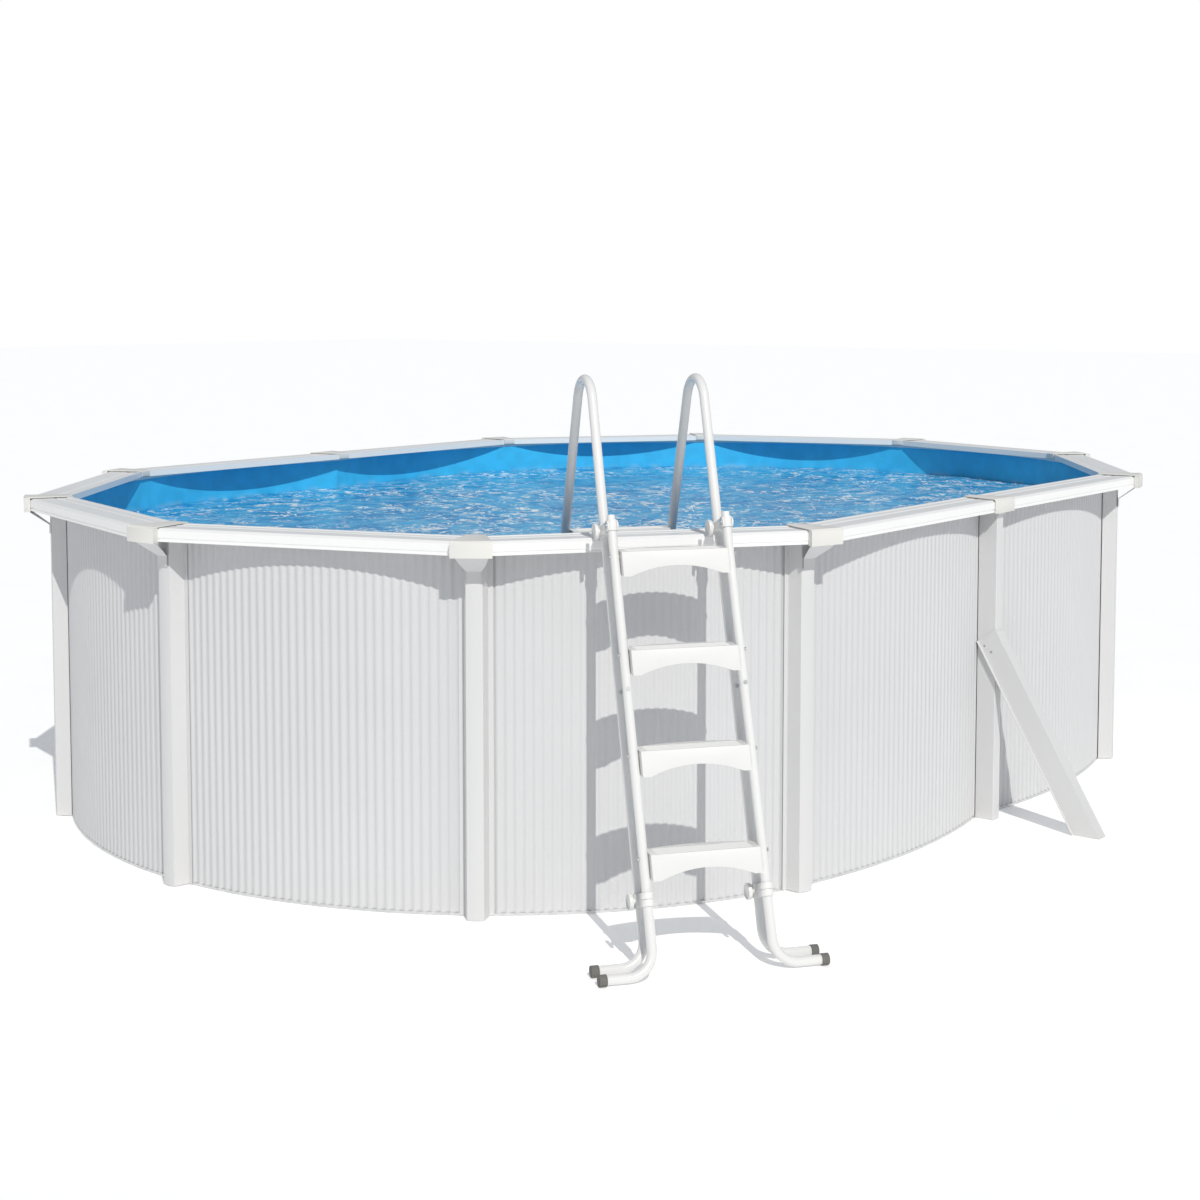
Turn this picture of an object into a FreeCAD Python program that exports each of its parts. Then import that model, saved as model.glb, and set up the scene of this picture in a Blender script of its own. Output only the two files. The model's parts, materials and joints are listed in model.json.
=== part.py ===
import FreeCAD, Part
import math
import os

import Sketcher

# Oval above-ground steel pool with an A-frame safety ladder whose outer flight folds up.
# Frame: origin on the ground at the middle of the pool, +X along its length, +Z up.
# The front, with the ladder and one waist brace, is -Y. All lengths are millimetres.

os.makedirs("parts", exist_ok=True)
doc = FreeCAD.newDocument("oval_pool")
Vector = FreeCAD.Vector
X_AXIS = Vector(1, 0, 0)
Z_AXIS = Vector(0, 0, 1)

SIZES = {
    # pool plan
    "lobe_radius": 1750, "lobe_offset": 670, "corner_turn": 36, "waist_out": 45,
    "side_bulge": 72,
    # wall, liner and ground
    "wall_height": 1200, "wall_sheet": 1.2, "track_height": 9, "track_gauge": 1.2,
    "track_gap": 0.5, "felt_thick": 3, "liner_thick": 1, "liner_gap": 0.6, "liner_drop": 1,
    "clip_drop": 20, "clip_wall": 1.3, "clip_rise": 3, "joint_bar": 30,
    # top rails
    "rail_inner": 8, "rail_outer": 143, "rail_over_wall": 16, "rail_face": 45,
    "rail_gauge": 1.5, "rail_lip": 24, "rail_band": 13, "rail_groove": 2,
    "rail_joint_gap": 4, "rail_rest": 0.5,
    # corner caps and their brackets
    "cap_over_rail": 4, "cap_below_rail": 5, "cap_wall": 3, "cap_outer_half": 66,
    "cap_inner_half": 30, "waist_cap_half": 77, "cap_margin": 1.4, "cap_bevel": 7,
    "bracket_gauge": 2, "bracket_outer_half": 48, "bracket_inner_half": 15,
    "bracket_bow": 336, "bracket_drop": 58, "bracket_tail": 34, "bracket_start": 35,
    "waist_bracket_drop": 12, "waist_bracket_tail": 4, "bracket_seat": 1.5,
    # uprights
    "upright_gauge": 1.5, "upright_half": 55, "upright_front_half": 27,
    "upright_root_half": 39, "upright_depth": 60, "upright_crown": 3,
    "upright_stand_off": 3.4, "foot_plate": 2, "waist_half": 25, "waist_depth": 128,
    "waist_gap": 9,
    # braces
    "brace_gauge": 2.5, "brace_gap": 1, "brace_reach": 554, "brace_depth": 100,
    "brace_height": 726, "brace_slope": 427, "brace_drop": 49, "brace_lip": 12,
    "foot_hole_radius": 5.5, "foot_hole_inset": 35, "foot_hole_spacing": 38,
    "strap_width": 60, "strap_thick": 1.5,
    # ladder frame
    "frame_half": 185, "tube_radius": 15, "tube_wall": 1.2, "leg_lean": 19.3,
    "arch_radius": 91, "arch_over_wall": 415, "apex_shift": 5, "tube_joint": 800,
    "spigot_neck": 3, "spigot_length": 50, "spigot_gap": 0.1, "foot_reach": 353,
    "foot_bend": 75, "foot_cap_wall": 2.5, "foot_cap_length": 24, "foot_cap_end": 4,
    "floor_gap": 0.4,
    # outer flight and its brackets
    "stringer_step": 1, "stringer_offset": 78, "pivot_over_wall": 48.6, "latch_rise": 206,
    "bracket_wall": 4, "bracket_height": 40, "bracket_web": 18, "split_gap": 0.5,
    "bore_gap": 0.05, "cheek_gap": 0.4, "cheek_gauge": 4, "arm_height": 28,
    "pivot_radius": 5, "pin_head": 3, "knuckle_gap": 0.4, "swing_gap": 1.5,
    "plug_length": 28, "finial_gap": 0.7, "finial_height": 15, "knob_radius": 25,
    "knob_thick": 12, "knob_rim": 4, "knob_dish": 3.5, "knob_stand": 5, "knob_gap": 0.4,
    "boss_radius": 9,
    "spindle_radius": 4,
    # steps
    "step_count": 4, "step_gap": 1.5, "step_front": 30, "step_back": 60,
    "step_back_end": 36, "step_apron": 72, "step_arch": 28, "step_boss": 23.5,
    "step_wall": 3, "step_lip": 30, "step_below_wall": 2, "first_step": 346,
    "screw_radius": 3, "screw_head": 6, "screw_drop": 18,
}

TIES = {
    "rail_top": "wall_height + rail_over_wall",
    "rail_low": "rail_top - rail_face",
    "cap_top": "rail_top + cap_over_rail",
    "cap_low": "rail_low - cap_below_rail",
    "waist_stand_off": "waist_out + waist_gap",
    "brace_half": "waist_half + brace_gap + brace_gauge",
    "arch_centre": "wall_height + arch_over_wall",
    "pivot_rise": "wall_height / cos(leg_lean) + pivot_over_wall",
    "stringer_radius": "tube_radius - stringer_step",
    "foot_cap_radius": "tube_radius + foot_cap_wall",
    "bracket_radius": "tube_radius + bracket_wall",
    "knob_boss": "bracket_radius + knob_stand",
    "cheek_inner": "stringer_radius - tube_wall + cheek_gap",
    "cheek_outer": "cheek_inner + cheek_gauge",
    "finial_radius": "cheek_inner - finial_gap",
    "finial_top": "cheek_outer + finial_height",
    "knuckle_swing": "sqrt(finial_top * finial_top + finial_radius * finial_radius) + swing_gap",
    "outer_step_half": "frame_half - stringer_radius - step_gap",
    "inner_step_half": "frame_half - tube_radius - step_gap",
    "step_top": "wall_height - step_below_wall",
    "step_rise": "(step_top - first_step) / (step_count - 1)",
}

NEAR, FAR = -1, 1
CUT_THROUGH = 4000


def make_sheet():
    """Write every driving dimension into the sheet, one row each, then the tied ones."""
    sheet = doc.addObject("Spreadsheet::Sheet", "sizes")
    rows = [(name, str(value)) for name, value in SIZES.items()]
    rows += [(name, "=" + formula) for name, formula in TIES.items()]
    for row, (name, content) in enumerate(rows, start=1):
        sheet.set("A%d" % row, name)
        sheet.set("B%d" % row, content)
        sheet.setAlias("B%d" % row, name)
    doc.recompute()
    return sheet


class Dim:
    """A number together with the sheet expression that it comes from."""

    def __init__(self, value, text):
        self.value = float(value)
        self.text = text

    def __add__(self, other):
        other = as_dim(other)
        return Dim(self.value + other.value, "(%s + %s)" % (self.text, other.text))

    def __radd__(self, other):
        return as_dim(other) + self

    def __sub__(self, other):
        other = as_dim(other)
        return Dim(self.value - other.value, "(%s - %s)" % (self.text, other.text))

    def __rsub__(self, other):
        return as_dim(other) - self

    def __mul__(self, other):
        other = as_dim(other)
        return Dim(self.value * other.value, "(%s * %s)" % (self.text, other.text))

    def __rmul__(self, other):
        return as_dim(other) * self

    def __truediv__(self, other):
        other = as_dim(other)
        return Dim(self.value / other.value, "(%s / %s)" % (self.text, other.text))

    def __neg__(self):
        return Dim(-self.value, "(0 - %s)" % self.text)


def as_dim(number):
    """Turn a plain number into a Dim."""
    return number if isinstance(number, Dim) else Dim(number, "(%.12g)" % number)


def sine(angle):
    return Dim(math.sin(math.radians(angle.value)), "sin(%s)" % angle.text)


def cosine(angle):
    return Dim(math.cos(math.radians(angle.value)), "cos(%s)" % angle.text)


def tangent(angle):
    return Dim(math.tan(math.radians(angle.value)), "tan(%s)" % angle.text)


def root(number):
    return Dim(math.sqrt(number.value), "sqrt(%s)" % number.text)


def arc_radius(half_chord, rise):
    """Radius of the arc that rises by rise over a chord of twice half_chord."""
    return (half_chord * half_chord + rise * rise) / (2 * rise)


sheet = make_sheet()
D = {name: Dim(sheet.get(name), "sizes." + name) for name in [*SIZES, *TIES]}


# ---- shared building steps ---------------------------------------------------------------

def new_body(label):
    """Add an empty PartDesign body."""
    body = doc.addObject("PartDesign::Body", label)
    body.Label = label
    return body


def bind(thing, prop, dim):
    """Drive one property of an object from the sheet."""
    dim = as_dim(dim)
    thing.setExpression(prop, dim.text)


def sketch_on(body, role, height=None):
    """Add a sketch on one of the body's own origin planes, raised by height."""
    sketch = body.newObject("Sketcher::SketchObject", body.Label + "_sketch")
    plane = [item for item in body.Origin.OriginFeatures if item.Role == role][0]
    sketch.AttachmentSupport = [(plane, "")]
    sketch.MapMode = "FlatFace"
    if height is not None:
        bind(sketch, "AttachmentOffset.Base.z", height)
    return sketch


def pin_number(sketch, kind, edge, end, dim):
    """Constrain one number of an edge and drive it from the sheet."""
    values = (edge, dim.value) if end is None else (edge, end, dim.value)
    index = sketch.addConstraint(Sketcher.Constraint(kind, *values))
    sketch.setExpression("Constraints[%d]" % index, dim.text)


def add_outline(sketch, points, radii=None):
    """Draw one closed outline; radii gives an arc's radius by edge, minus if it turns in."""
    radii = radii or {}
    points = [(as_dim(a), as_dim(b)) for a, b in points]
    first = sketch.GeometryCount
    count = len(points)
    ends = []
    for index in range(count):
        start = Vector(points[index][0].value, points[index][1].value, 0)
        stop_point = points[(index + 1) % count]
        stop = Vector(stop_point[0].value, stop_point[1].value, 0)
        if index not in radii:
            sketch.addGeometry(Part.LineSegment(start, stop), False)
            ends.append((1, 2))
            continue
        radius = as_dim(radii[index]).value
        chord = stop - start
        side = 1 if radius > 0 else -1
        rise = math.sqrt(radius * radius - chord.Length ** 2 / 4)
        inward = Vector(-chord.y, chord.x, 0).normalize() * side
        centre = (start + stop) * 0.5 + inward * rise
        low, high = (start, stop) if side > 0 else (stop, start)
        angles = [math.atan2(p.y - centre.y, p.x - centre.x) for p in (low, high)]
        circle = Part.Circle(centre, Z_AXIS, abs(radius))
        sketch.addGeometry(Part.ArcOfCircle(circle, *angles), False)
        ends.append((1, 2) if side > 0 else (2, 1))
    for index in range(count):
        following = (index + 1) % count
        sketch.addConstraint(Sketcher.Constraint(
            "Coincident", first + index, ends[index][1], first + following, ends[following][0]))
        pin_number(sketch, "DistanceX", first + index, ends[index][0], points[index][0])
        pin_number(sketch, "DistanceY", first + index, ends[index][0], points[index][1])
        if index in radii:
            size = as_dim(radii[index])
            pin_number(sketch, "Radius", first + index, None, size if size.value > 0 else -size)
    return sketch


def add_circle(sketch, x, y, radius):
    """Draw one circle driven from the sheet."""
    x, y, radius = as_dim(x), as_dim(y), as_dim(radius)
    index = sketch.addGeometry(
        Part.Circle(Vector(x.value, y.value, 0), Z_AXIS, radius.value), False)
    pin_number(sketch, "DistanceX", index, 3, x)
    pin_number(sketch, "DistanceY", index, 3, y)
    pin_number(sketch, "Radius", index, None, radius)


def pad(body, sketch, length, symmetric=False):
    """Pad a sketch by length, to both sides when symmetric."""
    feature = body.newObject("PartDesign::Pad", body.Label + "_pad")
    feature.Profile = sketch
    feature.SideType = "Symmetric" if symmetric else "One side"
    bind(feature, "Length", length)
    sketch.Visibility = False
    return feature


def pocket(body, sketch, length, symmetric=False, reverse=False):
    """Cut a sketch by length; reverse cuts towards the sketch's own normal."""
    feature = body.newObject("PartDesign::Pocket", body.Label + "_pocket")
    feature.Profile = sketch
    feature.SideType = "Symmetric" if symmetric else "One side"
    feature.Reversed = reverse
    bind(feature, "Length", length)
    return feature


def axes(origin, x_dir, z_dir):
    """Placement whose local X and Z axes point along x_dir and z_dir."""
    z_dir = Vector(z_dir).normalize()
    x_dir = Vector(x_dir).normalize()
    y_dir = z_dir.cross(x_dir)
    rotation = FreeCAD.Rotation(x_dir, y_dir, z_dir, "ZXY")
    return FreeCAD.Placement(origin, rotation)


def turned(x, y, outward):
    """Frame at (x, y) on the ground whose +Y points along the outward angle."""
    return FreeCAD.Placement(Vector(x, y, 0), FreeCAD.Rotation(Z_AXIS, outward - 90))


def cylinder(label, frame, base, direction, radius, length):
    """Round bar from base along direction, in a frame."""
    bar = doc.addObject("Part::Cylinder", label)
    bind(bar, "Radius", radius)
    bind(bar, "Height", length)
    across = X_AXIS if abs(direction.x) < 0.5 else Vector(0, 1, 0)
    bar.Placement = frame * axes(base, across, direction)
    return bar


def box(label, frame, corner, size):
    """Rectangular block from its low corner, in a frame."""
    block = doc.addObject("Part::Box", label)
    for prop, dim in zip(("Length", "Width", "Height"), size):
        bind(block, prop, dim)
    block.Placement = frame * FreeCAD.Placement(Vector(*corner), FreeCAD.Rotation())
    return block


def bend(label, frame, centre, x_dir, z_dir, bend_radius, radius, sweep):
    """Bent length of round bar about centre, starting towards x_dir."""
    ring = doc.addObject("Part::Torus", label)
    bind(ring, "Radius1", bend_radius)
    bind(ring, "Radius2", radius)
    bind(ring, "Angle3", sweep)
    ring.Placement = frame * axes(centre, x_dir, z_dir)
    return ring


def fuse(label, shapes):
    """Join solids into one; a lone solid is passed on as it is."""
    if len(shapes) == 1:
        return shapes[0]
    joined = doc.addObject("Part::MultiFuse", label)
    joined.Shapes = shapes
    joined.Refine = True
    joined.Label = label
    return joined


def cut(label, base, tool):
    taken = doc.addObject("Part::Cut", label)
    taken.Base = base
    taken.Tool = tool
    taken.Label = label
    return taken


def group(label, members):
    """Separate solids that share one node."""
    bundle = doc.addObject("Part::Compound", label)
    bundle.Links = members
    bundle.Label = label
    return bundle


# ---- pool plan ---------------------------------------------------------------------------

HALF_TURN = D["corner_turn"] / 2
END_PITCH = 2 * D["lobe_radius"] * sine(HALF_TURN)
SIDE_PITCH = D["lobe_offset"] + D["lobe_radius"] * cosine(2 * D["corner_turn"])
FLAT_LINE = D["lobe_radius"] * sine(2 * D["corner_turn"])
SIDE_CHORD = root(SIDE_PITCH * SIDE_PITCH + D["waist_out"] * D["waist_out"])
SIDE_RADIUS = arc_radius(SIDE_CHORD / 2, D["side_bulge"])
SIDE_SINK = SIDE_RADIUS - D["side_bulge"]
SIDE_CENTRE = (SIDE_PITCH / 2 - SIDE_SINK * D["waist_out"] / SIDE_CHORD,
               FLAT_LINE + D["waist_out"] / 2 - SIDE_SINK * SIDE_PITCH / SIDE_CHORD)


def lobe_point(lobe, turns, offset):
    """Corner of a lobe, counted in turns from its tip, moved outward by offset."""
    angle = D["corner_turn"] * turns
    reach = D["lobe_radius"] + offset
    return lobe * (D["lobe_offset"] + reach * cosine(angle)), lobe * (reach * sine(angle))


def waist_reach(offset):
    """Distance from the long axis to the waist kink of the wall line moved by offset."""
    radius = SIDE_RADIUS + offset
    along, across = SIDE_CENTRE
    return root(radius * radius - along * along) + across


def wall_line(offset):
    """Corners and arc radii of the scalloped wall line moved outward by offset."""
    offset = as_dim(offset)
    points, radii = [], {}
    for lobe in (FAR, NEAR):
        points.append((as_dim(0), -lobe * waist_reach(offset)))
        radii[len(points) - 1] = SIDE_RADIUS + offset
        for turns in range(-2, 3):
            points.append(lobe_point(lobe, turns, offset))
            radii[len(points) - 1] = (D["lobe_radius"] if turns < 2 else SIDE_RADIUS) + offset
    return points, radii


def corners():
    """Outward angle, place and kind of the twelve corners."""
    found = []
    for lobe, start in ((NEAR, 180), (FAR, 0)):
        for turns in range(-2, 3):
            x, y = lobe_point(lobe, turns, as_dim(0))
            found.append((start + turns * D["corner_turn"].value, x.value, y.value, "lobe"))
    for side in (-1, 1):
        found.append((90 * side, 0, side * FLAT_LINE.value, "waist"))
    return found


def bays():
    """Outward angle, chord middle and kind of the twelve straight bays."""
    found = []
    apothem = D["lobe_radius"].value * math.cos(math.radians(HALF_TURN.value))
    for lobe, start in ((NEAR, 180), (FAR, 0)):
        for turns in range(-2, 2):
            angle = start + (turns + 0.5) * D["corner_turn"].value
            x = lobe * D["lobe_offset"].value + apothem * math.cos(math.radians(angle))
            y = apothem * math.sin(math.radians(angle))
            found.append((angle, x, y, "end"))
    for side in (-1, 1):
        for lobe in (NEAR, FAR):
            middle = lobe * SIDE_PITCH.value / 2
            found.append((90 * side, middle, side * FLAT_LINE.value, "side"))
    return found


def band(body, inner, outer, height, low):
    """Closed band between two offsets of the wall line, from low upward."""
    sketch = sketch_on(body, "XY_Plane", low)
    add_outline(sketch, *wall_line(outer))
    add_outline(sketch, *wall_line(inner))
    return pad(body, sketch, height)


# ---- pool wall, liner and ground ---------------------------------------------------------

TRACK_INNER = -(D["track_gap"] + D["track_gauge"])
TRACK_OUTER = D["wall_sheet"] + D["track_gap"] + D["track_gauge"]
LINER_OUTER = TRACK_INNER - D["liner_gap"]
LINER_INNER = LINER_OUTER - D["liner_thick"]
LINER_TOP = D["wall_height"] - D["liner_drop"]


def wall_sheet():
    body = new_body("wall_sheet")
    band(body, 0, D["wall_sheet"], D["wall_height"] - D["track_gauge"], D["track_gauge"])
    return body


def bottom_track():
    """Channel under the wall: a band with a slot for the sheet."""
    body = new_body("bottom_track")
    band(body, TRACK_INNER, TRACK_OUTER, D["track_height"], as_dim(0))
    slot = sketch_on(body, "XY_Plane", D["track_gauge"])
    add_outline(slot, *wall_line(D["wall_sheet"] + D["track_gap"]))
    add_outline(slot, *wall_line(-D["track_gap"]))
    pocket(body, slot, D["track_height"], reverse=True)
    return body


def ground_felt():
    """Felt under the liner, grooved for the strap between the waist uprights."""
    body = new_body("ground_felt")
    sketch = sketch_on(body, "XY_Plane")
    add_outline(sketch, *wall_line(TRACK_INNER - D["liner_gap"]))
    pad(body, sketch, D["felt_thick"])
    groove = sketch_on(body, "XY_Plane")
    half = D["strap_width"] / 2 + 2
    reach = FLAT_LINE * 1.1
    add_outline(groove, [(-half, -reach), (half, -reach), (half, reach), (-half, reach)])
    pocket(body, groove, D["strap_thick"] + 0.3, reverse=True)
    return body


def waist_strap():
    """Flat steel strap under the pool, between the two waist tracks."""
    strap = doc.addObject("Part::Box", "waist_strap")
    reach = FLAT_LINE + TRACK_INNER - 2
    bind(strap, "Length", D["strap_width"])
    bind(strap, "Width", 2 * reach)
    bind(strap, "Height", D["strap_thick"])
    strap.Placement = FreeCAD.Placement(
        Vector(-D["strap_width"].value / 2, -reach.value, 0), FreeCAD.Rotation())
    return strap


def liner():
    """Vinyl tub inside the wall, open at the top."""
    body = new_body("liner")
    outer = sketch_on(body, "XY_Plane", D["felt_thick"])
    add_outline(outer, *wall_line(LINER_OUTER))
    pad(body, outer, LINER_TOP - D["felt_thick"])
    hollow = sketch_on(body, "XY_Plane", D["felt_thick"] + D["liner_thick"])
    add_outline(hollow, *wall_line(LINER_INNER))
    pocket(body, hollow, D["wall_height"], reverse=True)
    return body


def coping_clip():
    """Plastic clip that holds the liner over the top edge of the wall."""
    body = new_body("coping_clip")
    low = D["wall_height"] - D["clip_drop"]
    outer = D["wall_sheet"] + 0.2 + D["clip_wall"]
    inner = LINER_INNER - 0.1 - D["clip_wall"]
    band(body, inner, outer, D["clip_drop"] + D["clip_rise"], low)
    slot = sketch_on(body, "XY_Plane", low)
    add_outline(slot, *wall_line(outer - D["clip_wall"]))
    add_outline(slot, *wall_line(inner + D["clip_wall"]))
    pocket(body, slot, D["clip_drop"] + D["clip_rise"] - D["clip_wall"], reverse=True)
    return body


def wall_joint_bar():
    """Bar that clamps the two ends of the wall sheet, behind the far tip upright."""
    tip = D["lobe_offset"].value + D["lobe_radius"].value
    gap, end_gap = 0.2, 3
    size = (D["joint_bar"], D["upright_stand_off"] - D["wall_sheet"] - 2 * gap,
            D["wall_height"] - D["clip_drop"] - D["track_height"] - 2 * end_gap)
    corner = (-D["joint_bar"].value / 2, D["wall_sheet"].value + gap,
              D["track_height"].value + end_gap)
    return box("wall_joint_bar", turned(tip, 0, 0), corner, size)


# ---- top rails ---------------------------------------------------------------------------

def folded_strip(path, gauge):
    """Outline of a folded sheet: each point carries the way to its inner face."""
    outer = [(y, z) for y, z, a, b in path]
    inner = [(y + a * gauge, z + b * gauge) for y, z, a, b in path]
    return outer + inner[::-1]


def rail_section():
    """Section of a top rail, from its inner lip over the top to the rolled outer lip."""
    inner, outer, top = -D["rail_inner"], as_dim(D["rail_outer"]), D["rail_top"]
    groove = D["rail_groove"]
    lip = inner + D["rail_band"]
    seam = inner + 4 * D["rail_band"]
    path = [
        (inner, top - D["rail_lip"], 1, 0),
        (inner, top, 1, -1),
        (lip, top, -0.4, -1),
        (lip + 3, top - groove, -0.2, -1),
        (seam, top - groove, -0.2, -1),
        (seam + 2, top - 2 * groove, 0.2, -1),
        (seam + 9, top - 2 * groove, 0.4, -1),
        (seam + 12, top - groove, 0.2, -1),
        (outer - 12, top - groove + 1, -0.2, -1),
        (outer, top - groove - 6, -1, -0.6),
        (outer, D["rail_low"] + 13, -1, 0.2),
        (outer - 2, D["rail_low"] + 10, -1, 0),
        (outer - 2, D["rail_low"] + 6, -1, 0),
        (outer, D["rail_low"] + 4, -1, 0.2),
        (outer, D["rail_low"], -1, 1),
        (outer - 9, D["rail_low"], 0, 1),
    ]
    return folded_strip(path, D["rail_gauge"])


def top_rail(label, pitch, mitres, frame):
    """Straight rail over one bay, cut to the corners' mitre angles at its two ends."""
    body = new_body(label)
    section = sketch_on(body, "YZ_Plane")
    add_outline(section, rail_section())
    length = pitch + 2 * D["rail_outer"] * tangent(HALF_TURN)
    pad(body, section, length, symmetric=True)
    ends = sketch_on(body, "XY_Plane")
    near, away = -2 * D["rail_inner"], 1.2 * D["rail_outer"]
    for side, mitre in zip((-1, 1), mitres):
        end = pitch / 2 - D["rail_joint_gap"]
        points = [(side * (end + near * mitre), near), (side * length, near),
                  (side * length, away), (side * (end + away * mitre), away)]
        add_outline(ends, points if side > 0 else points[::-1])
    pocket(body, ends, CUT_THROUGH, symmetric=True)
    body.Placement = frame
    return body


def top_rails():
    """Eight end rails and four side rails, numbered round the pool."""
    lean = tangent(HALF_TURN)
    square = as_dim(0)
    rails = []
    ends = sides = 0
    for angle, x, y, kind in bays():
        frame = turned(x, y, angle)
        if kind == "end":
            ends += 1
            rails.append(top_rail("top_rail_end_%d" % ends, END_PITCH, (lean, lean), frame))
            continue
        sides += 1
        waist_on_right = x * y < 0
        mitres = (lean, square) if waist_on_right else (square, lean)
        rails.append(top_rail("top_rail_side_%d" % sides, SIDE_PITCH, mitres, frame))
    return rails


# ---- corner caps and brackets ------------------------------------------------------------

LOBE_CORNER = (D["rail_outer"] / cosine(HALF_TURN), tangent(HALF_TURN))
WAIST_CORNER = (D["rail_outer"], as_dim(0))


def taper(body, inner_half, outer_half, inner, outer, spill, bow=None):
    """Trim a section to a half width that grows from inner to outer, on bowed edges if any."""
    sketch = sketch_on(body, "XY_Plane")
    slope = (outer_half - inner_half) / (outer - inner)
    low, high = inner - spill, outer + spill
    far = 4 * outer_half
    for side in (-1, 1):
        points = [(side * (inner_half - spill * slope), low), (side * far, low),
                  (side * far, high), (side * (outer_half + spill * slope), high)]
        add_outline(sketch, points if side > 0 else points[::-1], {3: -bow} if bow else None)
    pocket(body, sketch, CUT_THROUGH, symmetric=True)


def corner_cap(number, frame, corner, outer_half):
    """Moulded cover over the joint of two rails, with side skirts on its outer face."""
    body = new_body("corner_cap_%d" % number)
    reach, recede = corner
    wall, top = D["cap_wall"], D["cap_top"]
    face = reach + D["cap_margin"] + wall
    hook = D["rail_inner"] + 1 + D["cap_inner_half"] * recede
    inner = -(hook + D["cap_margin"] + wall)
    low = D["cap_low"]
    path = [
        (inner, top - D["rail_lip"], 1, 0),
        (inner, top - 3, 1, -0.1),
        (inner + 3, top, 0.3, -1),
        (face - D["cap_bevel"], top, -0.4, -1),
        (face, top - D["cap_bevel"], -1, -0.4),
        (face, low, -1, 0),
    ]
    section = sketch_on(body, "YZ_Plane")
    add_outline(section, folded_strip(path, wall))
    pad(body, section, 4 * outer_half, symmetric=True)
    taper(body, D["cap_inner_half"], outer_half, inner, face, as_dim(20))
    if recede.value > 0:
        cap_skirts(body, reach, recede, face, low)
    body.Placement = frame
    return body


def cap_skirts(body, reach, recede, face, low):
    """Side walls of a cap's outer face, where the rails fall back behind it."""
    wall = D["cap_wall"]
    half = D["cap_outer_half"] - 1
    start = reach - (half - wall) * recede + D["cap_margin"]
    sketch = sketch_on(body, "XY_Plane", low)
    for side in (-1, 1):
        points = [(side * (half - wall - 3), start), (side * (half - 4), start),
                  (side * (half - 1), face - wall / 2), (side * (half - wall), face - wall / 2)]
        add_outline(sketch, points if side > 0 else points[::-1])
    pad(body, sketch, D["cap_top"] - low - wall / 2)


BRACKET_TOP = D["rail_low"] - D["rail_rest"]


def rail_bracket(number, frame, waist):
    """Shelf under the rails with a sloping tongue and a tail along the upright."""
    depth = D["waist_depth"] if waist else D["upright_depth"]
    drop = D["waist_bracket_drop"] if waist else D["bracket_drop"]
    start = D["waist_stand_off"] + 2 if waist else D["bracket_start"]
    tail = D["waist_bracket_tail"] if waist else D["bracket_tail"]
    body = new_body("rail_bracket_%d" % number)
    top = BRACKET_TOP
    outer = D["rail_outer"] - 3
    tail_y = depth + D["bracket_seat"] + D["bracket_gauge"]
    path = [
        (start, top, 0, -1),
        (outer, top, -2, -1),
        (outer - 3, top - 4, -0.75, 0.75),
        (tail_y, top - drop, -1, 0.6),
        (tail_y, top - drop - tail, -1, 0),
    ]
    section = sketch_on(body, "YZ_Plane")
    add_outline(section, folded_strip(path, D["bracket_gauge"]))
    pad(body, section, 4 * D["bracket_outer_half"], symmetric=True)
    root_y = D["upright_depth"] + D["bracket_seat"]
    if waist:
        taper(body, D["waist_half"] - 3, D["waist_half"] - 1, root_y, outer, as_dim(50))
    else:
        taper(body, D["bracket_inner_half"], D["bracket_outer_half"], root_y, outer,
              as_dim(32), D["bracket_bow"])
    body.Placement = frame
    return body


# ---- uprights and braces -----------------------------------------------------------------

UPRIGHT_TOP = BRACKET_TOP - D["bracket_gauge"] - 0.5


def upright(number, frame):
    """Hat section: two flanges, sloping sides and a slightly crowned front."""
    body = new_body("upright_%d" % number)
    gauge, root_y = D["upright_gauge"], D["upright_stand_off"] + D["upright_gauge"]
    front = D["upright_depth"] - D["upright_crown"]
    flange, foot, face = D["upright_half"], D["upright_root_half"], D["upright_front_half"]
    half = [
        (flange, root_y, 0, -1),
        (foot, root_y, -0.8, -1),
        (face, front, -1, -0.8),
    ]
    right = [(x, y) for x, y, a, b in half]
    inner = [(x + a * gauge, y + b * gauge) for x, y, a, b in half]
    outline = ([(x, y) for x, y in right] + [(-x, y) for x, y in right[::-1]]
               + [(-x, y) for x, y in inner] + [(x, y) for x, y in inner[::-1]])
    crown = arc_radius(face, D["upright_crown"])
    inner_crown = arc_radius(face - gauge, D["upright_crown"])
    sketch = sketch_on(body, "XY_Plane", D["foot_plate"])
    add_outline(sketch, outline, {2: crown, 8: -inner_crown})
    pad(body, sketch, UPRIGHT_TOP - D["foot_plate"])
    body.Placement = frame
    return body


def waist_upright(label, frame):
    """Deep channel that takes the brace at the waist."""
    body = new_body(label)
    gauge = D["upright_gauge"]
    half, low, high = D["waist_half"], D["waist_stand_off"], D["waist_depth"]
    points = [(half, low), (half, high - 2), (half - 2, high), (2 - half, high),
              (-half, high - 2), (-half, low), (gauge - half, low),
              (gauge - half, high - gauge - 1), (half - gauge, high - gauge - 1),
              (half - gauge, low)]
    sketch = sketch_on(body, "XY_Plane", D["foot_plate"])
    add_outline(sketch, points)
    pad(body, sketch, UPRIGHT_TOP - D["foot_plate"])
    body.Placement = frame
    return body


def brace_edge(height, inner):
    """Outward reach of the brace's inner or outer edge at a height."""
    slope = D["brace_slope"] / D["brace_height"]
    reach = D["brace_reach"] - height * slope
    return reach - D["brace_depth"] if inner else reach


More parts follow.
